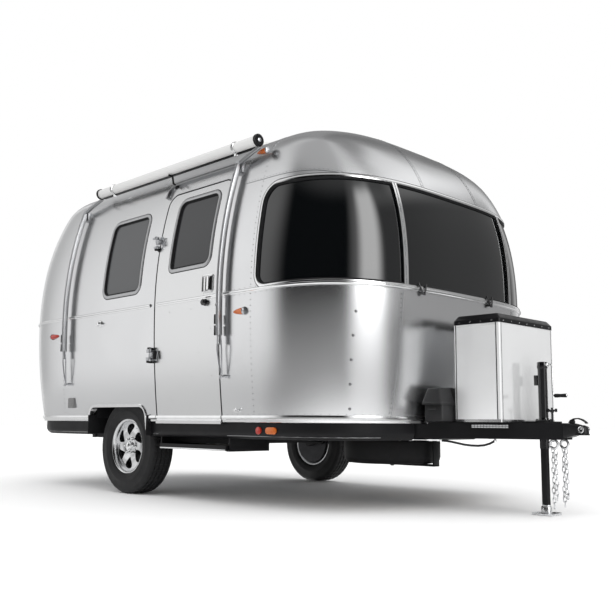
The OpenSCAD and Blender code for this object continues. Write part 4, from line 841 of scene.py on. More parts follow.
def studio():
    """Camera fitted to the photograph, sun, floor and reflector screen."""
    eye = Vector((4.819, -4.732, 0.557))
    yaw, pitch, roll = radians(44.613), radians(7.85), radians(0.411)
    ahead = Vector((-sin(yaw) * cos(pitch), cos(yaw) * cos(pitch), sin(pitch)))
    right = ahead.cross(UP).normalized()
    up = right.cross(ahead)
    right, up = right * cos(roll) + up * sin(roll), up * cos(roll) - right * sin(roll)
    cam = bpy.data.objects.new("camera", bpy.data.cameras.new("camera"))
    bpy.context.collection.objects.link(cam)
    cam.data.sensor_width, cam.data.lens = 36, 48.32
    cam.data.clip_end = 200
    cam.matrix_world = Matrix.Translation(eye) @ Matrix((right, up, -ahead)).transposed().to_4x4()
    bpy.context.scene.camera = cam

    world = bpy.data.worlds.new("world")
    bpy.context.scene.world = world
    world.use_nodes = True
    nodes = world.node_tree.nodes
    nodes["Background"].inputs["Color"].default_value = (1, 1, 1, 1)
    nodes["Background"].inputs["Strength"].default_value = 1.0

    key = bpy.data.lights.new("key", "SUN")
    key.angle, key.energy = radians(70), 1.0
    lamp = bpy.data.objects.new("key", key)
    bpy.context.collection.objects.link(lamp)
    lamp.rotation_euler = Vector((-0.45, 0.1, -1)).to_track_quat("-Z", "Y").to_euler()
    lamp.visible_glossy = False

    half = 60
    corners = [(-half, -half, 0), (half, -half, 0), (half, half, 0), (-half, half, 0)]
    mesh = bpy.data.meshes.new("floor")
    mesh.from_pydata(corners, [], [[0, 1, 2, 3]])
    mesh.materials.append(FLOOR)
    ground = bpy.data.objects.new("floor", mesh)
    bpy.context.collection.objects.link(ground)
    screen()
    floor_card()
    bpy.context.scene.view_settings.view_transform = "Standard"


def smooth(a, b, t):
    """0 before a, 1 after b, with a smooth rise between."""
    t = max(0.0, min(1.0, (t - a) / (b - a)))
    return t * t * (3 - 2 * t)


def band(a, b, c, d, t):
    """0 before a, 1 from b to c, 0 after d."""
    return smooth(a, b, t) * (1 - smooth(c, d, t))


def screen_level(az, el):
    """How bright the studio's reflector screen is, by direction in degrees from the caravan.

    Azimuth 0 is ahead of the hitch and 90 the road side. flag is a dark card along the kerb side, grey
    a darker card ahead on the road side, notch its darkest edge near the floor, strip a bright lamp
    straight ahead, soft a faint glow high up, and back a dim card behind on the road side.
    """
    low, high = 1 - smooth(4, 11, el), 1 - smooth(40, 55, el)
    flag = band(-134, -112, -29, -15, az) * (1 - 0.22 * low) * (0.3 + 0.7 * high)
    grey = band(9, 16, 80, 96, az) * (0.62 + 0.06 * smooth(4, 12, el)) * (1 - smooth(34, 44, el))
    notch = 0.6 * band(12, 18, 26, 34, az) * low
    top = 1 - (0.38 + 0.36 * smooth(0, 35, az)) * smooth(30, 56, el)
    strip = band(-17, -5, 5, 15, az) * (1 - smooth(42, 52, el))
    soft = 0.55 * band(24, 42, 74, 92, az) * band(36, 45, 58, 68, el)
    back = band(92, 104, 160, 176, az)
    front = (1 - flag) * (1 - grey) * (1 - notch) * top + (4.5 * smooth(7, 15, el) + 0.1) * strip + soft
    front *= 0.5 + 0.5 * smooth(-166, -140, az)
    return front * (1 - back) + (0.18 + 0.14 * smooth(112, 128, az)) * back


def glow_mesh(name, verts, faces, levels):
    """A glowing surface that only reflections see, with its brightness held at each vertex."""
    mesh = bpy.data.meshes.new(name)
    mesh.from_pydata(verts, [], faces)
    attribute = mesh.attributes.new("level", "FLOAT", "POINT")
    attribute.data.foreach_set("value", levels)
    mat = bpy.data.materials.new(name)
    mat.use_nodes = True
    nodes, links = mat.node_tree.nodes, mat.node_tree.links
    nodes.clear()
    out = nodes.new("ShaderNodeOutputMaterial")
    glow = nodes.new("ShaderNodeEmission")
    level = nodes.new("ShaderNodeAttribute")
    level.attribute_name = "level"
    links.new(level.outputs["Fac"], glow.inputs["Strength"])
    links.new(glow.outputs["Emission"], out.inputs["Surface"])
    mesh.materials.append(mat)
    obj = bpy.data.objects.new(name, mesh)
    bpy.context.collection.objects.link(obj)
    obj.visible_camera = obj.visible_diffuse = obj.visible_shadow = False
    obj.visible_transmission = obj.visible_volume_scatter = False


def ring_faces(rows, m):
    """Faces between rows of m points, each row a closed ring."""
    return [[i * m + j, i * m + (j + 1) % m, (i + 1) * m + (j + 1) % m, (i + 1) * m + j]
            for i in range(rows - 1) for j in range(m)]


def screen():
    """A curved reflector screen all round, seen only in reflections."""
    radius = 22000
    azimuths, heights = list(range(-180, 180, 2)), list(range(0, 90, 2)) + [89.9]
    verts, levels = [], []
    for el in heights:
        for az in azimuths:
            e, a = radians(el), radians(az)
            verts.append(Vector((cos(e) * cos(a), cos(e) * sin(a), sin(e))) * radius * MM)
            levels.append(screen_level(az, el))
    glow_mesh("reflector_screen", verts, ring_faces(len(heights), len(azimuths)), levels)


def floor_card():
    """What polished metal sees of the studio floor: a ring of cards round the caravan, with the caravan's
    shadow painted in ahead and on the road side.
    """
    azimuths = list(range(-180, 180, 2))
    radii = (2600, 3400, 4300, 6000, 12000, 21500)
    verts, levels = [], []
    for radius in radii:
        far = smooth(2600, 4300, radius)
        for az in azimuths:
            a = radians(az)
            verts.append(Vector((1500 + radius * cos(a), -500 + radius * sin(a), 2)) * MM)
            level = 0.6 - 0.28 * band(-138, -132, -32, -24, az) + 0.1 * band(-22, -16, 8, 16, az)
            # Darker ahead and on the road side, near and far: painted shadow of the hitch frame, battery and
            # gas box on the floor.
            level -= 0.5 * band(14, 20, 62, 84, az)
            near = 0.85 - 0.72 * band(8, 16, 86, 100, az)
            levels.append(near + (level - near) * far)
    glow_mesh("floor_card", verts, ring_faces(len(radii), len(azimuths)), levels)


# ---- Rails, seams and rivets ----
def trim():
    """Belt and foot rails round the shell, arch bands, drip moulding and the door's own rails."""
    rails = Shape()
    rails.sweep(ring_path(BELT_Z - 1, DOOR_X1 + DOOR_GAP, DOOR_X0 - 50), BELT_RAIL)
    v_foot = v_at(FOOT_Z)
    before, after = ARCH_X0 - 20, ARCH_X1 + 20
    rails.sweep(bay_run(after, DOOR_X0 - DOOR_GAP, v_foot), FOOT_RAIL)
    rails.sweep(bay_run(DOOR_X1 + DOOR_GAP, BAY_X1, v_foot) + level_run(nose, NOSE_STEPS, v_foot)
                + bay_run(BAY_X1, after, road_v(v_foot)), FOOT_RAIL)
    rails.sweep(bay_run(before, BAY_X0, road_v(v_foot)) + level_run(tail, TAIL_STEPS, v_foot)
                + bay_run(BAY_X0, before, v_foot), FOOT_RAIL)
    low, foot = 488, 540
    top = [p for p in rounded(ARCH_X0, ARCH_X1, 300, ARCH_TOP, ARCH_R, 12) if p[1] > 400]
    arch = raised([(ARCH_X0, low), (ARCH_X0, foot)] + top[::-1] + [(ARCH_X1, foot), (ARCH_X1, low)])
    for line in (arch, mirrored(arch)):
        rails.sweep(on(bay, resample(line, 40, False)), ARCH_BAND)
    rails.build("trim_rails_bright", BRIGHT, replaces=["trim_rails"])
    drip = Shape()
    line = [(-266, 2236), (-264, 2262), (-256, 2292), (-238, 2316), (-208, 2331), (-160, 2337), (-60, 2340),
            (150, 2341), (450, 2340), (540, 2338)]
    path = on(bay, resample(raised(line), 25, False))
    drip.sweep(path, [(-15, 0.3), (-15, 8), (-9, 21), (8, 24), (13, 19), (8, 12), (4, 0.3)])
    drip.sweep(path[:2], [(-18, 0.3), (-18, 14), (-10, 24), (10, 24), (18, 14), (18, 0.3)])
    drip.build("drip_moulding", ANODISED)
    door_rail = Shape()
    door_rail.sweep(bay_run(DOOR_X0 + 30, DOOR_X1 - 2, v_at(BELT_Z - 1)), BELT_RAIL)
    door_rail.sweep(bay_run(DOOR_X0 + 3, DOOR_X1 - 3, v_at(FOOT_Z + 1)),
                    [(-22, 0.3), (-21, 10), (-14, 14), (-2, 14), (3, 9), (8, 8), (14, 16), (34, 16),
                     (38, 10), (38, 0.3)])
    door_rail.build("door_rails_bright", BRIGHT, "door", ["door_trim"])


def seams():
    """Lapped seams with painted shade along each lap's edge, their rows of rivets, and the few large
    fasteners.
    """
    laps, rivets = Shape(), Shape()

    def seam(path, pitch, r=3.5):
        laps.sweep(path, LAP)
        # Dark strip along the lap's edge: painted shade of the lap's step.
        laps.sweep(path, SEAM_SHADE_LINE, tag=1)
        rivets.rivets(path, pitch, r)

    over = raised([(642, 2180), (730, 2178), (BAY_X1 - 1, 2176)])
    bend = [(nose_s(x, z), v_at(z)) for x, z in (
        (845, 2176), (950, 2176), (1076, 2174), (1180, 2170), (1269, 2163), (1330, 2152), (1377, 2141),
        (1438, 2117))]
    seam(on(bay, over) + on(nose, resample(bend, 25, False)), 30)
    bend = [(-s, v) for s, v in reversed(bend)]
    seam(on(nose, resample(bend, 25, False)) + on(bay, mirrored(over)), 30)
    for end, half, lowest, splits in ((nose, NOSE_S, 2128, (325,)), (tail, TAIL_S, 2070, (240, 620))):
        for y in splits:
            for side in (-1, 1):
                line = [(at_y(end, half, side * min(y, 0.93 * section(v)[0]), v), v)
                        for v in spread(v_at(lowest), V_CROWN - 160, 30)]
                seam(on(end, line), 34)
    seam_low, seam_top, clear = 598, 2350, 18
    below, above = (seam_low, BELT_Z - clear), (BELT_Z + clear, seam_top)
    v0, v1 = (v_at(z) for z in below)
    parts = 12
    for side in (-1, 1):
        lean = [(side * abs(at_y(nose, NOSE_S, -700 + 45 * i / parts, v)), v)
                for i, v in enumerate(spread(v0, v1, (v1 - v0) / parts))]
        seam(on(nose, lean), 30, 5)
        for i in range(5):
            z = 1227 - i * 148.5
            s = side * abs(nose_s(1516 - i * 14, z))
            rivets.rivet(*spot(nose, s, v_at(z)), 10, 4, 12)
    for x in (BAY_X0 + 2, BAY_X1 - 2):
        for turn in (list, mirrored):
            for z0, z1 in (below, above):
                rivets.rivets(on(bay, turn([(x, v) for v in spread(v_at(z0), v_at(z1), 60)])), 38, 3.5)
    for x in (BAY_X0 + 4, BAY_X1 - 4, BAY_X0 + 1180):
        seam(on(bay, [(x, v) for v in spread(V_WALL, road_v(V_WALL), 40)]), 40)
    for v in (V_CROWN - 325, V_CROWN + 325):
        seam(level_run(bay, spread(BAY_X0 + 20, BAY_X1 - 20, 80), v), 40)
    for z in (BELT_Z - 22, BELT_Z + 20, 600):
        rivets.rivets(ring_path(z, DOOR_X1 + 30, DOOR_X0 - 60)[:60], 52, 2.6)
    for s in (-880, -560, 560, 880):
        seam(on(tail, [(s, v) for v in spread(v_at(600), v1, 40)]), 34)
    laps.build("seam_laps", [ALUMINIUM, SEAM_SHADE_AND_BEAD_METAL])
    # The heads' dark metal is painted shade.
    rivets.build("rivets", RIVET_SHADE_METAL, sharp=50)
    screws = Shape()
    for x, z in ((-40, 1330), (210, 1330), (430, 1180), (-40, 860), (210, 860), (430, 860), (-40, 700),
                 (300, 1020)):
        screws.rivet(*spot(bay, x, v_at(z)), 3.4, 1.4, 10)
    screws.build("door_screws", RIVET_SHADE_METAL, "door", sharp=50)


# ---- Skirt ----
def skirt():
    """Black band under the foot rail, with gaps for the hitch rails and the bumper's arms."""
    inset, t = 15, 5
    curl, curl_z, curl_h = 34, 486, 46

    def under(surface):
        def f(u, z, d=0):
            roll_in = curl * max(0.0, (curl_z - z) / curl_h) ** 2
            p = surface(u, 0, inset + roll_in + d)
            return Vector((p.x, p.y, z))
        return f

    def gaps(end, half, inner, outer):
        spans = [sorted(at_y(end, half, side * y, 0) for y in (inner, outer)) for side in (-1, 1)]
        return [rounded(s0, s1, 430, 560, 1, 1) for s0, s1 in spans]

    def far_wall(u, z, d=0):
        p = under(bay)(u, z, d)
        return Vector((p.x, -p.y, z))

    zs = [440, 446, 454, 464, 476, 490, 510, 530, 547]
    whole = Shape()
    runs = []
    spans = [spread(BAY_X0, ARCH_X0 - 20, 80), spread(ARCH_X1 + 20, BAY_X1, 80)]
    runs += [panel(under(bay), us, zs, t) for us in spans]
    runs += [panel(far_wall, us[::-1], zs, t) for us in spans]
    runs.append(panel(under(nose), spread(-NOSE_S, NOSE_S, 40), zs, t, holes=gaps(nose, NOSE_S, 255, 475)))
    runs.append(panel(under(tail), spread(-TAIL_S, TAIL_S, 40), zs, t, holes=gaps(tail, TAIL_S, 596, 644)))
    for run in runs:
        whole.add(run.verts, run.faces)
    whole.build("skirt", SKIRT, replaces=["belly_skirt"], weld=0.3)


# ---- Wheels ----
TYRE_R, TYRE_W, SEAT_R = 359, 215, 203
WHEEL_BOX_Y = 865


def tyre(name, centre, axis, body, node):
    """Tyre with rounded shoulders, circular grooves and cross sipes."""
    r, half, seat, n = TYRE_R, TYRE_W / 2, SEAT_R, 180
    side = [(seat, -80), (seat + 5, -86), (seat + 14, -half + 10), (seat + 34, -half + 3),
            (seat + 42, -half + 2.2), (seat + 44, -half + 0.6), (seat + 60, -half), (seat + 66, -half),
            (seat + 68, -half + 1.6), (r - 34, -half + 5), (r - 30, -half + 5), (r - 18, -half + 13),
            (r - 8, -half + 20), (r - 3, -half + 27)]
    tread = []
    for share, top in ((-0.72, r - 1.0), (-0.25, r - 0.3), (0.25, r - 0.3), (0.72, r - 1.0)):
        y = share * (half - 30)
        tread += [(top, y - 6.5), (r - 9, y - 4.5), (r - 9, y + 4.5), (top, y + 6.5)]
    line = side + tread + [(a, -b) for a, b in reversed(side)] + [(seat + 1, 70), (seat + 1, -70)]
    u = axis.orthogonal().normalized()
    across = axis.cross(u)
    rows = []
    for k in range(n):
        row = []
        for rr, h in line:
            wave = 0.416 * (abs((k % 4) - 2) - 1) if rr > r - 12 else 0.0
            sipe = 6.0 if rr > r - 5 and k % 4 == 0 else 0.0
            a = 2 * pi * (k + wave) / n
            row.append(centre + axis * h + (u * cos(a) + across * sin(a)) * (rr - sipe))
        rows.append(row)
    shape = Shape()
    shape.grid(rows, closed_u=True, closed_v=True)
    shape.build(name, TYRE, body, [node], sharp=38)


def rim(name, centre, axis, body, node):
    """Polished wheel with six windows in its dished face, lugs, a hub cap and the drum behind."""
    across = Vector((1, 0, 0))
    up = axis.cross(across)
    face = Shape()
    face.lathe([(196, -86), (207, -88), (209, -84), (206, -80), (199, -74), (197, 40), (199, 74), (206, 80),
                (210, 84), (209.5, 88), (205, 91), (200, 90), (194, 84), (190, 76), (186, 62), (184, 40),
                (182, -60), (186, -80), (196, -86)], centre, axis, 120)
    face.lathe([(0.1, 60), (40, 60), (66, 54), (70, 48), (70, 30), (0.1, 30)], centre, axis, 72)

    def dish(u, v, d=0):
        swell = sin(pi * max(0.0, min(1.0, (hypot(u, v) - 48) / 142)))
        return centre + axis * (50 + 17 * swell - d) + across * u + up * v

    mid_r, half_r = 128, 45
    windows = []
    for k in range(6):
        outline = []
        for phi in turns(36):
            r = mid_r + half_r * cos(phi)
            wide = radians(11.5 + 11 * (r - 83) / 90)
            a = pi / 2 + 2 * pi * k / 6 + wide * sin(phi) - 0.0022 * (r - mid_r)
            outline.append((r * cos(a), r * sin(a)))
        windows.append(outline)
    disc = [(188.5 * cos(a), 188.5 * sin(a)) for a in turns(120)]
    grid = spread(-192, 192, 12)
    face.build(name + "_rim", CHROME, body, [node], sharp=40)
    panel(dish, grid, grid, 16, inside=disc, holes=windows).build(name + "_face", CHROME, body, sharp=40)
    dark, hub = Shape(), Shape()
    dark.lathe([(24, -100), (178, -100), (183, -60), (183, -20), (150, -6), (60, 4), (24, 4)],
               centre, axis, 72)
    dark.build(name + "_drum", DARK_METAL, body)
    hub.lathe([(37, 56), (37, 74), (34, 79), (30, 80), (27, 86), (18, 91), (0.1, 93)], centre, axis, 48)
    for k in range(6):
        a = pi / 2 + 2 * pi * (k + 0.5) / 6
        p = centre + (across * cos(a) + up * sin(a)) * 56
        hub.lathe([(11, 52), (11, 60), (9.5, 62), (9.5, 74), (7, 78), (0.1, 79)], p, axis, 6)
        hub.lathe([(14, 50), (14, 58), (12, 60), (9, 60)], p, axis, 24)
    valve = centre + (across * cos(0.9) + up * sin(0.9)) * 172
    hub.lathe([(3.2, 40), (3.4, 88), (0.1, 90)], valve, axis, 12)
    hub.build(name + "_hub", BRIGHT, body)


def wheels():
    """Both wheels, the splash guards in the arches, the step's nosing and the spare wheel."""
    for side, tag in ((-1, "right"), (1, "left")):
        centre, axis, body = Vector((AXLE_X, side * AXLE_Y, AXLE_Z)), Vector((0, side, 0)), "wheel_" + tag
        tyre("tyre_" + tag, centre, axis, body, body + "_tyre")
        rim("rim_" + tag, centre, axis, body, body + "_rim")
    guards = Shape()
    x0, x1 = ARCH_X0 + 1, ARCH_X1 + 44
    for side in (-1, 1):
        for x in (x0, x1):
            guards.box((x, side * 1195, 446), (x + 6, side * 760, 596), 2)
        guards.box((x0, side * 764, 462), (x1 + 6, side * 758, 640), 2)
        guards.box((x0 + 1, side * WHEEL_BOX_Y, 548), (x1 - 8, side * (WHEEL_BOX_Y + 6), 576), 1)
    guards.build("splash_guards", RUBBER)
    low, high = cad("entry_step")
    nosing = Shape()
    nosing.box((low.x + 3, low.y - 1, low.z + 1), (high.x - 3, low.y + 4, low.z + 10), 1.5)
    nosing.build("step_nosing", BRIGHT, "step")
    spare_wheel()


def spare_wheel():
    """Spare wheel lying under the nose, its carrier, and the dark tyre round it."""
    low, high = cad("spare_wheel")
    centre = ((low.x + high.x) / 2, 0, 358)
    spare, cover = Shape(), Shape()
    spare.lathe([(24, -60), (90, -60), (110, -20), (150, 0), (186, 4), (192, 60), (203, 76), (203, 70),
                 (196, 60), (190, -10), (150, -16), (112, -36), (94, -74), (24, -74)], centre, UP, 72)
    spare.lathe([(0.1, -80), (34, -80), (34, -66), (14, -62), (14, 110), (0.1, 112)], centre, -UP, 24)
    for end, inward in ((low.x, 12), (high.x, -12)):
        spare.box((end, -32, low.z), (end + inward, 32, 476), 3)
    spare.box((low.x, -32, low.z), (high.x, 32, low.z + 14), 5)
    spare.build("spare_carrier", BLACK, replaces=["spare_wheel"])
    cover.lathe([(203, -80), (225, -87), (300, -88), (322, -82), (338, -66), (344, -44), (344, 56), (338, 77),
                 (322, 92), (300, 98), (225, 97), (203, 90), (203, -80)], centre, UP, 96)
    cover.build("spare_tyre", RUBBER)


# ---- Awning ----
def awning():
    """Rolled fabric, a black strip of painted shadow under it, two bright clips, a middle cradle and both
    folded arms.
    """
    low, high = cad("awning_roller")
    y, z = (low.y + high.y) / 2, (low.z + high.z) / 2
    x0, x1 = low.x, high.x
    roll, strip, clips, cradle = Shape(), Shape(), Shape(), Shape()
    profile = [(0.1, 0), (36, 0), (37, 2), (37, x1 - x0 - 2), (36, x1 - x0), (0.1, x1 - x0)]
    roll.lathe(profile, (x0, y, z), (1, 0, 0), 64)
    roll.build("awning_fabric_roll", FABRIC, replaces=["awning_roller"])
    # Black strip under the roll: painted shadow of the gap below the roller.
    strip.box((x0 + 30, y + 2, z - 45), (x1 - 30, y + 26, z - 35), 3)
    strip.box((x0 + 30, y + 20, z - 44), (x1 - 30, y + 25, z - 16), 2)
    strip.build("awning_valance", BLACK)
    clip_r = 40.5
    for x in (x0 + 206, x1 - 226):
        for wire in (-9, 0, 9):
            clips.tube([(x + wire, y + clip_r * cos(a), z + clip_r * sin(a)) for a in turns(40)], 3.2, 8,
                       closed=True)
        clips.box((x - 12, y - 8, z - 60), (x + 12, y + 12, z - 38), 3)
    clips.build("awning_clips", BRIGHT)
    x = (x0 + x1) / 2 + 12
    wall = bay(x, v_at(2330))
    cradle.tube([(x, wall.y, wall.z), (x, wall.y - 40, wall.z + 14), (x, y + 6, z - 52),
                 (x, y - 30, z - 46)], 8, 12)
    cradle.box((x - 16, wall.y - 10, wall.z - 24), (x + 16, wall.y + 4, wall.z + 18), 4)
    cradle.build("awning_cradle", BLACK)
    for tag, x, end, sign in (("rear", BAY_X0 + 82, x0, -1), ("front", x1 - 212, x1, 1)):
        arm(tag, x, end, sign, y, z)


def arm(tag, x, end, sign, y, z):
    """Folded arm: a channel up the wall, a slimmer inner arm, thin rods to the foot and the roller head."""
    channel, rods, pads = Shape(), Shape(), Shape()
    mid = x + 6

    def upright(x, heights):
        return on(bay, raised([(x, q) for q in heights]))

    channel.sweep(upright(mid, [1120, 1160] + spread(1200, 2318, 60)),
                  [(-14, 24), (-14, 55), (-12, 59), (-5, 60), (-4, 57), (4, 57), (5, 60), (12, 59), (14, 55),
                   (14, 24), (11, 24), (11, 52), (-11, 52), (-11, 24)])
    channel.sweep(upright(mid - 4, spread(1060, 2250, 70)),
                  [(-9, 28), (-9, 47), (-7, 50), (7, 50), (9, 47), (9, 28)])
    (base, out), (head, top) = upright(mid, (850, 2318))
    for side in (-1, 1):
        a, b, c = (bay(mid + side * w, v_at(q)) for w, q in ((15, 1130), (23, 1030), (14, 940)))
        foot = base + Vector((side * 3, 0, 10)) + out * 30
        rods.tube([a + out * 40, b + out * 40, c + out * 36, foot], 5, 10)
    rods.lathe([(0.1, 0), (11, 0), (11, 10), (7, 14), (7, 34), (9, 36), (9, 42), (0.1, 43)],
               base - out * 0.2, out, 24)
    rods.tube([base + out * 36 + Vector((9 * cos(a), 0, 9 * sin(a) - 4)) for a in turns(28)], 3.4, 8,
              closed=True)
    for p, n in upright(mid, (1180, 1330, 2200)):
        rods.lathe([(7, 58), (7, 61), (4, 64), (0.1, 64.5)], p, n, 12)
    for p, _ in upright(mid - 30, (1235, 1160)):
        pads.box((p.x - 5, p.y - 56, p.z - 40), (p.x + 4, p.y - 28, p.z + 26), 3)
    cap_x = end + sign * 7
    cap = (cap_x, y, z)
    knee = head + top * 42
    bend = (x + (cap_x - x) * 0.45, knee.y - 4, knee.z + (z - 46 - knee.z) * 0.45)
    channel.tube([knee + Vector((0, 0, -60)), knee, bend, (cap_x, y + 16, z - 40)], 15, 10)
    rods.lathe([(0.1, -16), (18, -16), (19, -12), (19, 12), (18, 16), (0.1, 16)], knee, (0, 1, 0), 24)
    rods.tube([bay(mid, v_at(2230)) + top * 26, knee + Vector((sign * 40, 16, 10)),
               (cap_x, y + 30, z - 26)], 7, 10)
    p = bay(mid, v_at(2290))
    channel.box((mid - 34, p.y - 26, 2262), (mid + 34, p.y + 12, 2330), 5)
    pads.lathe([(0.1, -8), (44, -8), (44, 6), (36, 8), (34, 10), (0.1, 10)], cap, (sign, 0, 0), 48)
    rods.lathe([(15, 9), (15, 13), (12, 15), (0.1, 16)], cap, (sign, 0, 0), 40)
    channel.build("awning_arm_" + tag, ANODISED, replaces=["awning_arms"])
    rods.build("awning_rods_" + tag, HINGE)
    pads.build("awning_pads_" + tag, BLACK)


# ---- Door fittings ----
def hinge(z, lower):
    """Wall plate with two knuckles, the door's leaf between them, and rubber pads."""
    p, n = bay(DOOR_X0 - 2, v_at(z)), normal(bay, DOOR_X0, v_at(z))
    lean = Matrix.Translation(p) @ Matrix.Rotation(atan2(n.z, -n.y), 4, "X")
    pin, rise = lean @ Vector((0, -36, 0)), lean.to_3x3() @ Vector((0, 0, 1))
    wall, leaf, pads = Shape(), Shape(), Shape()
    gap = 17.5 if lower else 25
    wall.box((-46, -6, -46), (-12, 0, 46), 2, matrix=lean)
    for side in (-1, 1):
        wall.box((-42, -42, side * 43), (-9, -4, side * gap), 4, matrix=lean)
        wall.rivet(lean @ Vector((-38, -6, side * 34)), n, 4.5, 2, 10)
        leaf.rivet(lean @ Vector((36, -8, side * 27)), n, 4.5, 2, 10)
    wall.lathe([(0.1, -46), (8, -46), (9, -44), (9, -gap), (0.1, -gap)], pin, rise, 24)
    wall.lathe([(0.1, gap), (9, gap), (9, 44), (8, 46), (0.1, 46)], pin, rise, 24)
    wall.build("hinge_wall_%d" % z, HINGE, replaces=["door_hinges"])
    leaf.box((8, -8, -40), (46, -0.5, 40), 3, matrix=lean)
    leaf.box((2, -45, -15.5), (30, -6, 15.5), 5, matrix=lean)
    leaf.rod(9.5, -15.5, 15.5, pin, rise, 24)
    leaf.build("hinge_leaf_%d" % z, HINGE, "door")
    pads.box((-34, -42, -58), (-6, -1, -42), 3, matrix=lean)
    if lower:
        pads.box((-34, -42, 42), (-6, -1, 56), 3, matrix=lean)
    pads.build("hinge_pads_%d" % z, RUBBER)
    if lower:
        stop = Shape()
        stop.box((31, -30, -32), (46, -7, 30), 3, matrix=lean)
        stop.build("hinge_stop", RUBBER, "door")


def door_fittings():
    """Hinges, latch plate with its paddle and slots, knob and lock."""
    hinge(1028, True)
    hinge(1877, False)
    x0, x1, z0, z1 = DOOR_X1 - 178, DOOR_X1 - 74, 1436, 1548
    plate, slots, knobs = Shape(), Shape(), Shape()

    def bar(shape, x, margin, profile):
        line = [(x0 + x, z) for z in (z0 + margin, (z0 + z1) / 2, z1 - margin)]
        shape.sweep(on(bay, raised(line)), profile)

    plate.sweep(on(bay, resample(raised(rounded(x0, x1, z0, z1, 9, 4)), 25)),
                [(9, 0.2), (8, 6), (1, 7.5), (-6, 4), (-8, 0.2)], closed=True)
    bar(plate, 33, 8, [(-19, 0.3), (-18, 3), (4, 3), (5, 0.3)])
    bar(plate, 68, 10, [(-14, 0.3), (-13, 13), (-9, 17), (9, 17), (13, 13), (14, 0.3)])
    plate.build("latch_plate", BRIGHT, "door")
    for x, half in ((31, 4), (48, 3), (89, 3)):
        bar(slots, x, 9, [(-half, 0.3), (-half, 3.6), (half, 3.6), (half, 0.3)])
    slots.build("latch_slots", RUBBER, "door")
    knobs.lathe([(24, 0), (24, 5), (20, 8), (16, 10), (16, 16), (22, 20), (22, 25), (16, 31), (0.1, 33)],
                *spot(bay, DOOR_X1 - 146, v_at(1362)), 36)
    knobs.lathe([(12, 0), (12, 4), (9, 7), (0.1, 8)], *spot(bay, DOOR_X1 - 22, v_at(1334)), 24)
    knobs.build("door_knob", GLOSS_BLACK, "door")


# ---- Lamps ----
def teardrop(lens, bezel, surface, u, v, along, length, r):
    """Marker lamp with its round end in a bezel and its tip pointing along."""
    p, n = spot(surface, u, v)
    along = (Vector(along) - n * n.dot(Vector(along))).normalized()
    side = along.cross(n)
    back, bulge = length * 0.35, 1.15
    arch = [pi * k / 12 for k in range(13)]
    m = len(arch)
    rows = []
    for t in (0, 0.06, 0.2, 0.35, 0.5, 0.65, 0.8, 0.92, 1.0):
        w = r * (1 - t ** 1.9) ** 0.62 if t < 1 else 0.5
        c = p + along * (length * t - back)
        rows.append([c + side * (w * cos(a)) + n * (bulge * w * sin(a)) for a in arch])
    start = len(lens.verts)
    lens.grid(rows)
    under = [[start + j for j in range(m)]]
    for k in range(len(rows) - 1):
        i = start + k * m
        under.append([i, i + m - 1, i + 2 * m - 1, i + m])
    lens.faces += under
    lens.tags += [0] * len(under)
    c = p - along * back
    bezel.grid([[c + along * dx + side * (rr * cos(a)) + n * (bulge * rr * sin(a) - 1) for a in arch]
                for dx, rr in ((5, r + 0.5), (5, r + 3), (-1, r + 3.5), (-5, r + 1), (-6.5, r - 6), (-7, 1))])


def lamps():
    """Amber and red lenses in their bezels: markers, skirt lamps and the four tail lamps."""
    amber, red, bezel = Shape(), Shape(), Shape()
    oval = rounded(-46, 46, -22, 22, 21, 6)
    disc = [(24 * cos(a), 24 * sin(a)) for a in turns(28)]
    skirt_z, tail_angle, high_red = 496, radians(34), v_top(2320)
    high_s = abs(at_y(tail, TAIL_S, -620, high_red))
    for side in (-1, 1):
        low_v, high_v = v_at(1268), v_top(2396)
        if side > 0:
            low_v, high_v = road_v(low_v), road_v(high_v)
        teardrop(amber, bezel, bay, BAY_X1 - 96, low_v, (-1, 0, 0), 118, 24)
        teardrop(amber, bezel, bay, BAY_X1 - 90, high_v, (-1, 0, 0), 112, 22)
        teardrop(red, bezel, tail, side * (145 - TAIL_S), v_at(1262), (0.6, side * 0.8, 0), 110, 22)
        teardrop(red, bezel, tail, -side * high_s, high_red, (0, side, 0), 56, 11)
        for ahead, outline, lens in ((24, disc, red), (150, oval, amber)):
            s = side * (NOSE_S - ahead)
            p, n = nose(s, 0, 15), normal(nose, s, 0)
            p = Vector((p.x, p.y, skirt_z))
            n = Vector((n.x, n.y, 0)).normalized()
            t = UP.cross(n)
            lens.prism(outline, lambda a, b, c, p=p, n=n, t=t: p + t * a + UP * b + n * c, 11, 3.5)
        for z in (950, 800):
            y = section(v_at(z))[0] * squarish(sin(tail_angle))
            p, n = spot(tail, at_y(tail, TAIL_S, side * y, v_at(z)), v_at(z))
            red.lathe([(46, 4), (46, 16), (40, 22), (24, 25), (0.1, 26)], p, n, 40)
            bezel.lathe([(53, -1.5), (53, 8), (50, 12), (46, 12), (45, 3)], p, n, 48)
    amber.build("amber_lenses", AMBER, replaces=["marker_lights"], sharp=45)
    red.build("red_lenses", RED, replaces=["tail_lights"], sharp=45)
    bezel.build("lamp_bezels", HINGE, sharp=45)


# ---- Hitch equipment ----
GAS_LID_Z = 1170.3


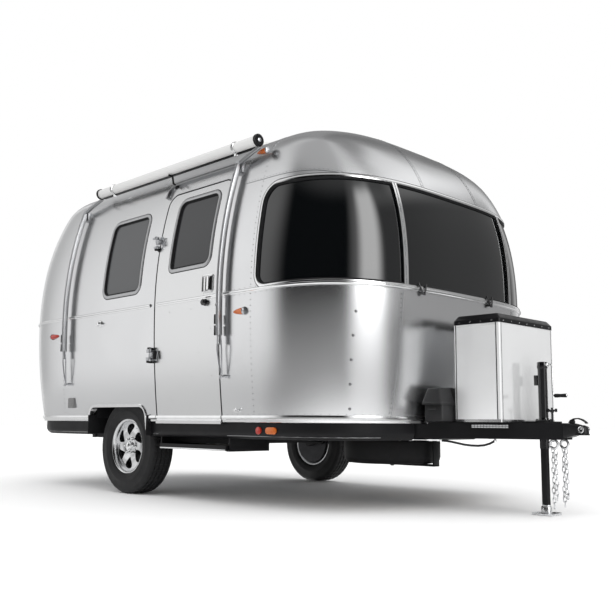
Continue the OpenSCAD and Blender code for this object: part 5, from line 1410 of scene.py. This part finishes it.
def gas_cover():
    """Open sheet cover with its side panels, seams, foot edge, and hinge knuckles at the back."""
    low, high = cad("gas_cover")
    x0, x1, y0, y1, z0, z1 = BAY_X1 + NOSE_L + 122, high.x, low.y, high.y, low.z, GAS_LID_Z
    outer, inner = rounded(x0, x1, y0, y1, 20, 6), rounded(x0 + 9, x1 - 9, y0 + 9, y1 - 9, 12, 6)
    cover, side, lines, edge = Shape(), Shape(), Shape(), Shape()
    cover.grid([flat(inner, z1), flat(outer, z1), flat(outer, z0)], closed_u=True)
    cover.grid([flat(inner, z0 + 10), flat(inner, z1)], closed_u=True)
    cover.cap(flat(outer, z0))
    cover.cap(flat(inner, z0 + 10))
    for y in (-250, 250):
        cover.rod(7, -40, 40, (x0 - 8, y, z1), (0, 1, 0))
        cover.box((x0 - 9, y - 40, z1 - 16), (x0 + 2, y + 40, z1 - 4), 2)
    cover.build("gas_cover_shell", COVER, replaces=["gas_cover"], weld=0.05)
    for y, s in ((y0, -1), (y1, 1)):
        proud = y + s * 2.4
        side.box((x0 + 26, y, z0 + 16), (x1 - 26, proud, z1 - 14), 1.2)
        for z in spread(z0 + 50, z1 - 50, 96):
            for x in (x0 + 36, x1 - 36):
                side.rivet(Vector((x, proud, z)), Vector((0, s, 0)), 3.2, 1.2)
        for x in (x0 + 22, x1 - 22):
            lines.box((x - 3, y, z0 + 8), (x + 3, y + s * 1.2, z1 - 2), 0.5)
        lines.box((x1 - 0.4, y - s * 24, z0 + 6), (x1 + 1.0, y - s * 27, z1 - 2), 0.3)
    side.build("gas_cover_sides", COVER_SIDE)
    lines.build("gas_cover_lines", RUBBER)
    edge.sweep([(p, UP) for p in flat(reversed(outer), z0 + 8)], [(-3, -8), (-3, 8), (0.2, 8), (0.2, -8)],
               closed=True)
    edge.build("gas_cover_foot", BRIGHT)
    gas_lid(x0, x1, y0, y1, z1)


def gas_lid(x0, x1, y0, y1, z1):
    """Black cap with a sloping rim, two hinge knuckles and a row of bright rivets."""
    lid, heads = Shape(), Shape()
    top, deep = z1 + 59.7, z1 + 0.4

    def ring(grow, z):
        return flat(rounded(x0 - grow, x1 + grow, y0 - grow, y1 + grow, max(6, 20 + grow), 6), z)

    lid.grid([ring(-8, deep), ring(2.5, deep), ring(2.5, z1 + 26), ring(0.5, z1 + 29), ring(-24, top - 3),
              ring(-30, top)], closed_u=True)
    lid.cap(ring(-30, top), flip=True)
    lid.grid([ring(-34, top - 9), ring(-10, z1 + 24), ring(-8, deep)], closed_u=True)
    lid.cap(ring(-34, top - 9))
    for y in (-182, 182):
        lid.rod(7, -26, 26, (x0 - 8, y, z1), (0, 1, 0))
    for y in (-182, 182):
        lid.box((x0 - 9, y - 26, z1 + 4), (x0 + 2, y + 26, z1 + 12), 2)
    lid.build("gas_cover_cap", LID_BLACK, "gas_lid", ["gas_cover_lid"], weld=0.05)
    proud, row_z = 2.4, z1 + 14
    for y in spread(y0 + 50, y1 - 50, 104):
        heads.rivet(Vector((x1 + proud, y, row_z)), Vector((1, 0, 0)), 4.2, 2.2, 10)
    for x in spread(x0 + 50, x1 - 50, 104):
        for y, s in ((y0 - proud, -1), (y1 + proud, 1)):
            heads.rivet(Vector((x, y, row_z)), Vector((0, s, 0)), 4.2, 2.2, 10)
    heads.build("gas_cover_rivets", BRIGHT, "gas_lid", sharp=50)


def bent_path(line, place, outward):
    """Path of (point, normal) along a flat line of (a, b); outward is 1 or -1, the side the normal takes."""
    path = []
    for i, (a, b) in enumerate(line):
        c, d = line[min(i + 1, len(line) - 1)]
        e, f = line[max(i - 1, 0)]
        t = Vector((c - e, 0, d - f)).normalized()
        path.append((place(a, b), Vector((t.z, 0, -t.x)) * outward))
    return path


def battery():
    """Battery case with a hipped, overhanging lid and a webbing strap over it."""
    low, high = cad("battery_box")
    z0, edge, top = low.z, low.z + 107, high.z
    x0, x1, y0, y1 = low.x + 5, high.x - 5, low.y + 20, high.y - 5
    box, strap = Shape(), Shape()

    def case(grow, z):
        return flat(rounded(x0 - grow, x1 + grow, y0 - grow, y1 + grow, 14, 5), z)

    def lid(grow, z, r=14):
        return flat(rounded(x0 - 5 - grow, x1 + 5 + grow, y0 - 20 - grow, y1 + 5 + grow, r, 5), z)

    box.grid([case(-6, z0), case(-1, z0 + 4), case(0, edge - 2), case(-4, edge + 6)], closed_u=True)
    box.cap(case(-6, z0))
    box.grid([lid(-5, edge), lid(2, edge), lid(2, edge + 12), lid(0, edge + 14), lid(-26, top - 6, 10),
              lid(-30, top - 2, 10), lid(-34, top, 10)], closed_u=True)
    box.cap(lid(-5, edge))
    box.cap(lid(-34, top, 10), flip=True)
    box.box((x0 + 34, y0 - 12, edge - 34), (x1 - 34, y0 + 1, edge - 22), 3)
    for y in (y0 + 70, y1 - 70):
        box.box((x0 + 34, y - 6, top - 6), (x1 - 34, y + 6, top + 1), 2)
    box.build("battery_case", BATTERY, replaces=["battery_box"], weld=0.05)
    mid = (y0 + y1) / 2 - 8
    line = [(x1 + 3, z0 + 6), (x1 + 3.5, edge - 3), (x1 + 9, edge + 1), (x1 + 9, edge + 14),
            (x1 - 20, top - 4), (x1 - 30, top + 1), (x0 + 30, top + 1), (x0 + 20, top - 4),
            (x0 - 9, edge + 14), (x0 - 9, edge + 4)]
    path = bent_path(line, lambda a, b: Vector((a, mid, b)), 1)
    strap.sweep(path, [(-18, -1), (-18, 1.5), (18, 1.5), (18, -1)])
    strap.box((x1 + 2, mid - 24, edge - 44), (x1 + 8, mid + 24, edge - 20), 2)
    strap.build("battery_strap", WEBBING)


def jack():
    """Tongue jack: tube with its flange, sliding leg and foot, crank with a grip, and a wing nut."""
    low, high = cad("jack_tube")
    x, z_top = (low.x + high.x) / 2, high.z
    foot_at = (x, 0, 0)
    tube, leg, foot, crank, grip, nut = (Shape() for _ in range(6))
    tube.lathe([(26, 402), (29, 400), (29, z_top - 44), (31.5, z_top - 42), (32.5, z_top - 38),
                (32.5, z_top - 8), (30, z_top - 2), (25, z_top - 0.5), (0.1, z_top)], foot_at, UP, 56)
    tube.lathe([(29, 567), (50, 567.4), (52, 569), (52, 573), (50, 575), (34, 576), (31, 584), (29, 590)],
               foot_at, UP)
    tube.lathe([(29, 548), (36, 549), (36, 553), (29, 553)], foot_at, UP)
    tube.box((x - 52, -16, z_top - 148), (x - 26.5, 16, z_top - 84), 2)
    for a in (0.6, 2.2, 3.8, 5.4):
        bolt = (x + 42 * cos(a), 42 * sin(a), 0)
        tube.lathe([(7, 575), (7, 581), (5, 582), (0.1, 582)], bolt, UP, 6)
    tube.build("jack_tube_smooth", GLOSS_BLACK, replaces=["jack_tube"])
    leg.rod(25.4, 60, 620, foot_at, UP, 48)
    leg.build("jack_leg_tube", BLACK, "jack_leg")
    foot.lathe([(33, 6), (33, 44), (30, 50), (27, 52), (26, 60), (0.1, 62)], foot_at, UP, 40)
    dish = rounded(-75, 75, -75, 75, 34, 8)
    steps = ((0.5, 0.5), (0.9, 0.2), (0.97, 3), (1.0, 11), (0.98, 12), (0.9, 7), (0.5, 5), (0.3, 8))
    rings = [flat([(x + a * k, b * k) for a, b in dish], z) for k, z in steps]
    foot.grid(rings, closed_u=True)
    foot.cap(rings[0])
    foot.cap(rings[-1], flip=True)
    foot.build("jack_foot", GALVANISED, "jack_leg", ["jack_leg"])
    cx, arm_z, grip_z = x + 66, z_top - 19, 725
    crank.tube([(x + 32, 0, arm_z), (cx - 12, 0, arm_z), (cx - 3, 0, arm_z - 3), (cx, 0, arm_z - 13),
                (cx, 0, grip_z + 17), (cx + 2, 0, grip_z + 5), (cx + 10, 0, grip_z), (cx + 24, 0, grip_z)],
               5.5, 14)
    crank.lathe([(12, 0), (12, 10), (9, 12), (0.1, 12)], (x + 31, 0, arm_z), (1, 0, 0), 24)
    crank.lathe([(0.1, 93), (7, 93), (7.5, 95), (5, 97), (0.1, 97)], (cx, 0, grip_z), (1, 0, 0), 24)
    crank.build("jack_crank_rod", BRIGHT, replaces=["jack_crank"])
    grip.lathe([(0.1, 12), (9, 12), (11.5, 15), (12, 30), (10.5, 55), (12, 84), (11, 92), (0.1, 92.5)],
               (cx, 0, grip_z), (1, 0, 0), 28)
    grip.build("jack_grip", RUBBER)
    stud = (cx - 8, 0, 0)
    nut.lathe([(6, 567), (6, 650), (4, 652), (0.1, 652)], stud, UP, 16)
    nut.lathe([(11, 622), (13, 626), (13, 636), (9, 640), (0.1, 641)], stud, UP, 20)
    nut.box((cx - 38, -4, 628), (cx + 24, 4, 640), 3)
    nut.box((cx - 38, -5, 624), (cx - 26, 5, 646), 4)
    nut.box((cx + 12, -5, 624), (cx + 26, 5, 646), 4)
    nut.build("jack_wing_nut", DARK_METAL)


def coupler():
    """Cast ball coupler, its latch lever and the ring through its nose."""
    cup = (cad("coupler")[1].x - 42, 0, 0)
    body, lever, ring = Shape(), Shape(), Shape()
    rows = [[Vector((x, a, b)) for a, b in rounded(-half, half, z0, z1, r, 5)]
            for x, half, z0, z1, r in ((2383, 61, 470, 556, 10), (2400, 60, 471, 557, 12),
                                       (2420, 52, 476, 556, 14), (2440, 42, 482, 553, 16),
                                       (2456, 38, 486, 550, 18), (2470, 36, 488, 546, 18))]
    body.grid(rows, closed_u=True)
    body.ends(0, len(rows), len(rows[0]), flip=True)
    body.lathe([(26, 523), (25.6, 486), (40, 485), (46, 486), (46, 491), (42, 493), (41, 510), (38, 528),
                (30, 540), (18, 545), (0.1, 546)], cup, UP, 56)
    body.lathe([(0.1, 526), (16, 525), (26, 520)], cup, UP, 40)
    body.build("coupler_head", CASTING, replaces=["coupler"])
    line = [(2398, 560), (2410, 574), (2430, 583), (2455, 585), (2480, 578), (2500, 566), (2509, 556)]
    lever.sweep(bent_path(line, lambda a, b: Vector((a, 0, b)), -1),
                [(-15, -3), (-15, 2), (-11, 4), (11, 4), (15, 2), (15, -3)])
    lever.box((2404, -17, 544), (2426, 17, 576), 4)
    lever.lathe([(0.1, -22), (8, -22), (9, -20), (9, 20), (8, 22), (0.1, 22)], (2416, 0, 564), (0, 1, 0), 24)
    lever.build("coupler_lever", CASTING, replaces=["coupler_latch"])
    for y in (-40, 40):
        ring.tube([(2488 + 15 * cos(a), y, 519 + 17 * sin(a)) for a in turns(28)], 4, 8, closed=True)
    ring.tube([(2492, -44, 524), (2500, 0, 530), (2492, 44, 524)], 5, 10)
    ring.build("coupler_ring", GALVANISED)


def chains():
    """Four strands of links under two rings; each link is turned a little from its neighbour."""
    low, high = cad("safety_chains")
    x, pitch = (low.x + high.x) / 2, 30
    metal, tabs = Shape(), Shape()
    for s in (-1, 1):
        y = s * 66
        metal.tube([(x + 25 * cos(a), y, 429 + 25 * sin(a)) for a in turns(36)], 8, 10, closed=True)
        tabs.box((x - 10, y - 5, 446), (x + 10, y + 5, 458), 2)
        tabs.rod(7, -7, 7, (x, y, 452), (0, 1, 0), 16)
        for strand, (dx, lean, drop) in enumerate(((-8, -0.006, 0), (9, 0.012, 12))):
            for i in range(12 - strand * 2):
                hang = i * pitch
                c = Vector((x + dx + lean * hang, y + 4 * sin(i * 1.3 + strand), 394 - drop - hang))
                turn = pi / 4 + (pi / 2) * (i % 2) + 0.25 * sin(i * 2.1 + s)
                u = Vector((cos(turn), sin(turn), 0))
                metal.tube([c + u * (9 * cos(a)) + UP * (9 * sin(a) + (8.5 if sin(a) > 0 else -8.5))
                            for a in turns(20)], 3.5, 7, closed=True)
    metal.build("safety_chain_links", GALVANISED, replaces=["safety_chains"])
    tabs.build("chain_tabs", BLACK)


def reflector():
    """Clearance reflector of small prisms on the kerb-side hitch rail, and its pair on the road side."""
    a = radians(25)
    for s, tag in ((-1, "kerb"), (1, "road")):
        along, out = Vector((cos(a), -s * sin(a), 0)), Vector((sin(a), s * cos(a), 0))
        base, cells = Shape(), Shape()
        m = Matrix((along, UP, out)).transposed().to_4x4()
        m.translation = Vector((1884, s * 291, 524))
        base.box((0, -2, -0.5), (232, 24, 3), 2, matrix=m)
        for u in (4 + i * 18.8 for i in range(12)):
            for v in (1, 11.6):
                cells.box((u, v, 2), (u + 17, v + 8.8, 4.6), 1.6, matrix=m)
        base.build("reflector_base_" + tag, RUBBER)
        cells.build("reflector_cells_" + tag, REFLECTOR)


# ---- Small fittings ----
def fittings():
    """Wall vent, inlet, step switch and window stays on the kerb side and nose."""
    vent, small, clips = Shape(), Shape(), Shape()
    y = bay(-1418, v_at(693)).y
    vent.box((-1460, y - 16, 652), (-1376, y + 16, 736), 5)
    for i in range(5):
        vent.box((-1450, y - 19, 662 + i * 14), (-1386, y - 15, 670 + i * 14), 1.2)
    vent.build("wall_vent", GREY_PLASTIC)
    p, n = spot(bay, -963, v_at(1316))
    small.lathe([(27, 0), (27, 5), (23, 9), (16, 10), (16, 26), (12, 31), (0.1, 32)], p, n, 32)
    for x in (-1001, -983):
        small.lathe([(10, 0), (10, 16), (7, 20), (0.1, 21)], bay(x, v_at(1310)), n, 18)
    y = bay(669, v_at(620)).y
    small.box((640, y - 6, 612), (700, y + 2, 632), 2)
    small.tube([(655, y - 8, 622), (655, y - 26, 622), (664, y - 32, 622), (690, y - 32, 622)], 4.5, 10)
    small.tube([(690, y - 5, 626), (690, y - 24, 630), (690, y - 28, 640)], 4.5, 10)
    small.build("wall_fittings", BRIGHT)
    rise = UP * 38
    for y in (-480, 290):
        p, n = spot(nose, at_y(nose, NOSE_S, y, v_at(1420)), v_at(1404))
        t = Vector((-n.y, n.x, 0)).normalized()
        clips.tube([p + n * 9 - t * 38 + rise, p + n * 24 - t * 5 - rise, p + n * 24 + t * 5 - rise,
                    p + n * 9 + t * 38 + rise], 6.5, 12)
        clips.lathe([(11, 0), (11, 15), (7, 20), (0.1, 20)], p - rise * 0.6, n, 18)
    clips.build("window_stays", GLOSS_BLACK)


def road_side():
    """Service grilles, inlets and vents on the side away from the door."""
    grey, dark, white = Shape(), Shape(), Shape()

    def wall_box(shape, x0, x1, z0, z1, out, bevel=4):
        q0, q1 = bay(0, road_v(v_at(z0))), bay(0, road_v(v_at(z1)))
        lean = atan2(q1.y - q0.y, q1.z - q0.z)
        m = Matrix.Translation((0, (q0.y + q1.y) / 2, (z0 + z1) / 2)) @ Matrix.Rotation(-lean, 4, "X")
        h = (z1 - z0) / 2
        shape.box((x0, -3, -h), (x1, out, h), bevel, matrix=m)
        return m, h

    pitch = 22
    for z0, z1 in ((640, 860), (1080, 1250)):
        m, h = wall_box(white, -230, 190, z0, z1, 9)
        for i in range(int((z1 - z0 - 40) / pitch)):
            slot_z = pitch - h + i * pitch
            dark.box((-206, 8, slot_z), (166, 10.4, slot_z + 10), 1, matrix=m)
    wall_box(white, -1440, -1310, 700, 830, 14, 8)
    wall_box(dark, -1425, -1325, 715, 815, 17, 6)
    wall_box(grey, -1230, -1160, 760, 830, 10, 6)
    inlet, vent = bay(-1195, road_v(v_at(795))), bay(-1380, road_v(v_at(1120)))
    dark.lathe([(22, 6), (22, 14), (16, 17), (0.1, 18)], inlet, (0, 1, 0), 32)
    grey.lathe([(48, 0), (48, 8), (42, 12), (0.1, 14)], vent, (0, 1, 0), 40)
    dark.lathe([(30, 12), (30, 16), (0.1, 17)], vent, (0, 1, 0), 32)
    white.build("service_covers", COVER_SIDE)
    grey.build("service_plates", GREY_PLASTIC)
    dark.build("service_slots", RUBBER)


# ---- Rear ----
def rear():
    """Bumper on two arms, and the bare plate bracket with its lamp and screws."""
    bar, plate, lamp, screws = (Shape() for _ in range(4))
    x = tail(0, 0).x
    bar.box((x - 46, -690, 470), (x - 6, 690, 530), 9, segments=3)
    for s in (-1, 1):
        bar.box((x - 30, s * 620 - 20, 482), (cad("main_frame")[0].x, s * 620 + 20, 518), 3)
        bar.box((x - 49, s * 690 - 6, 467), (x - 4, s * 690 + 6, 533), 5)
    bar.build("rear_bar", BLACK, replaces=["rear_bumper"])
    skin = tail(0, v_at(760)).x
    plate.box((skin - 34, -160, 678), (skin - 26, 160, 842), 3)
    plate.box((skin - 37, -150, 686), (skin - 33, 150, 828), 2)
    plate.box((skin - 28, -40, 730), (skin + 3, 40, 790), 3)
    plate.build("plate_bracket", BLACK)
    lamp.box((skin - 52, -48, 846), (skin - 4, 48, 872), 6)
    lamp.build("plate_lamp", BRIGHT)
    for y in (-89, 89):
        screws.lathe([(8, 0), (8, 3), (5, 5), (0.1, 5.5)], (skin - 37, y, 820), (-1, 0, 0), 16)
    screws.build("plate_screws", GALVANISED)


# ---- CAD pieces that keep their own shape ----
def bevel(node, finish, width):
    """Gives a CAD piece its finish and softens its edges."""
    obj = bpy.data.objects[node]
    obj.data.materials.clear()
    obj.data.materials.append(finish)
    mod = obj.modifiers.new("edges", "BEVEL")
    mod.width, mod.segments, mod.limit_method = width * MM, 2, "ANGLE"
    mod.angle_limit = radians(40)
    mod.harden_normals = True
    for f in obj.data.polygons:
        f.use_smooth = True


def gas_line():
    """Smooth hose, pipe and fittings under the kerb-side hitch rail."""
    hose, metal = Shape(), Shape()
    route = [(1702, -350, 442), (1730, -337, 440), (1760, -324, 435), (1795, -308, 427), (1830, -292, 419),
             (1870, -273, 414), (1910, -255, 413), (1945, -239, 417), (1975, -226, 427), (1994, -217, 438),
             (2004, -212, 447)]
    hose.tube([Vector(p) for p in route], 7, 16)
    hose.build("gas_hose", HOSE, replaces=["gas_line"])
    pipe_end = Vector((1700, -350, 446))
    along = Vector((460, 462 * 0.457, 0)).normalized()

    def at_x(x):
        return pipe_end + along * ((x - pipe_end.x) / along.x)

    metal.tube([at_x(1242), at_x(1640)], 5, 16)
    for x0, x1 in ((1432, 1538), (1614, 1702)):
        run = (x1 - x0) / along.x
        metal.lathe([(0.1, 0), (7, 0), (7, 12), (10.2, 14), (10.2, 34), (7.5, 36), (7.5, run - 34),
                     (10.2, run - 32), (10.2, run - 12), (7, run - 10), (7, run), (0.1, run)],
                    at_x(x0), along, 6)
    metal.lathe([(0.1, 0), (8, 0), (10.2, 3), (10.2, 16), (7, 18), (7, 24)], (2006, -211, 434), UP, 6)
    metal.build("gas_fittings", BRIGHT)


def cooler():
    """Roof cooler hood: tapered shell with rounded edges, a raised top panel and louvres at both ends."""
    low, high = cad("roof_cooler")
    hood, slots = Shape(), Shape()

    def ring(front, side, z, r):
        return flat(rounded(low.x + front, high.x - front, low.y + side, high.y - side, r, 8), z)

    top = high.z
    rows = [ring(0, 0, low.z, 60), ring(0, 0, low.z + 34, 60), ring(6, 4, low.z + 38, 60),
            ring(30, 12, top - 70, 70), ring(42, 18, top - 36, 76), ring(64, 34, top - 12, 80),
            ring(100, 62, top - 3, 84), ring(120, 80, top - 3, 80), ring(124, 84, top, 78),
            ring(160, 120, top, 60)]
    hood.grid(rows, closed_u=True)
    hood.cap(rows[0])
    hood.cap(rows[-1], flip=True)
    for x in spread(low.x + 150, high.x - 150, 130):
        for y in (low.y + 3, high.y - 3):
            hood.lathe([(9, 0), (9, 4), (6, 7), (0.1, 7.5)], (x, y, low.z + 30), (0, 0, 1), 14)
    hood.build("cooler_hood", WHITE_PLASTIC, replaces=["roof_cooler"], weld=0.05)
    for end, sign in ((low.x, 1), (high.x, -1)):
        for i in range(5):
            z = low.z + 62 + i * 16
            x = end + sign * (10 + i * 3.6)
            slots.box((x, low.y + 130, z), (x + sign * 14, high.y - 130, z + 7), 2)
    slots.build("cooler_louvres", RUBBER)


def kept():
    """Finishes of the CAD pieces that need no new shape."""
    for node, finish, width in (
            ("main_frame", BLACK, 3), ("hitch_frame", BLACK, 3), ("axle", BLACK, 2.5),
            ("stabiliser_right", BLACK, 2), ("stabiliser_left", BLACK, 2), ("entry_step", BLACK, 3),
            ("floor_deck", PLY, 1), ("belly_pan", PAN, 1), ("wheel_houses", DARK_METAL, 3),
            ("roof_vent_base", WHITE_PLASTIC, 6), ("roof_vent_lid", SMOKED, 6)):
        bevel(node, finish, width)


studio()
shell()
windows()
door()
hatch()
trim()
seams()
skirt()
wheels()
awning()
door_fittings()
lamps()
gas_cover()
battery()
jack()
coupler()
chains()
reflector()
fittings()
road_side()
rear()
kept()
gas_line()
cooler()
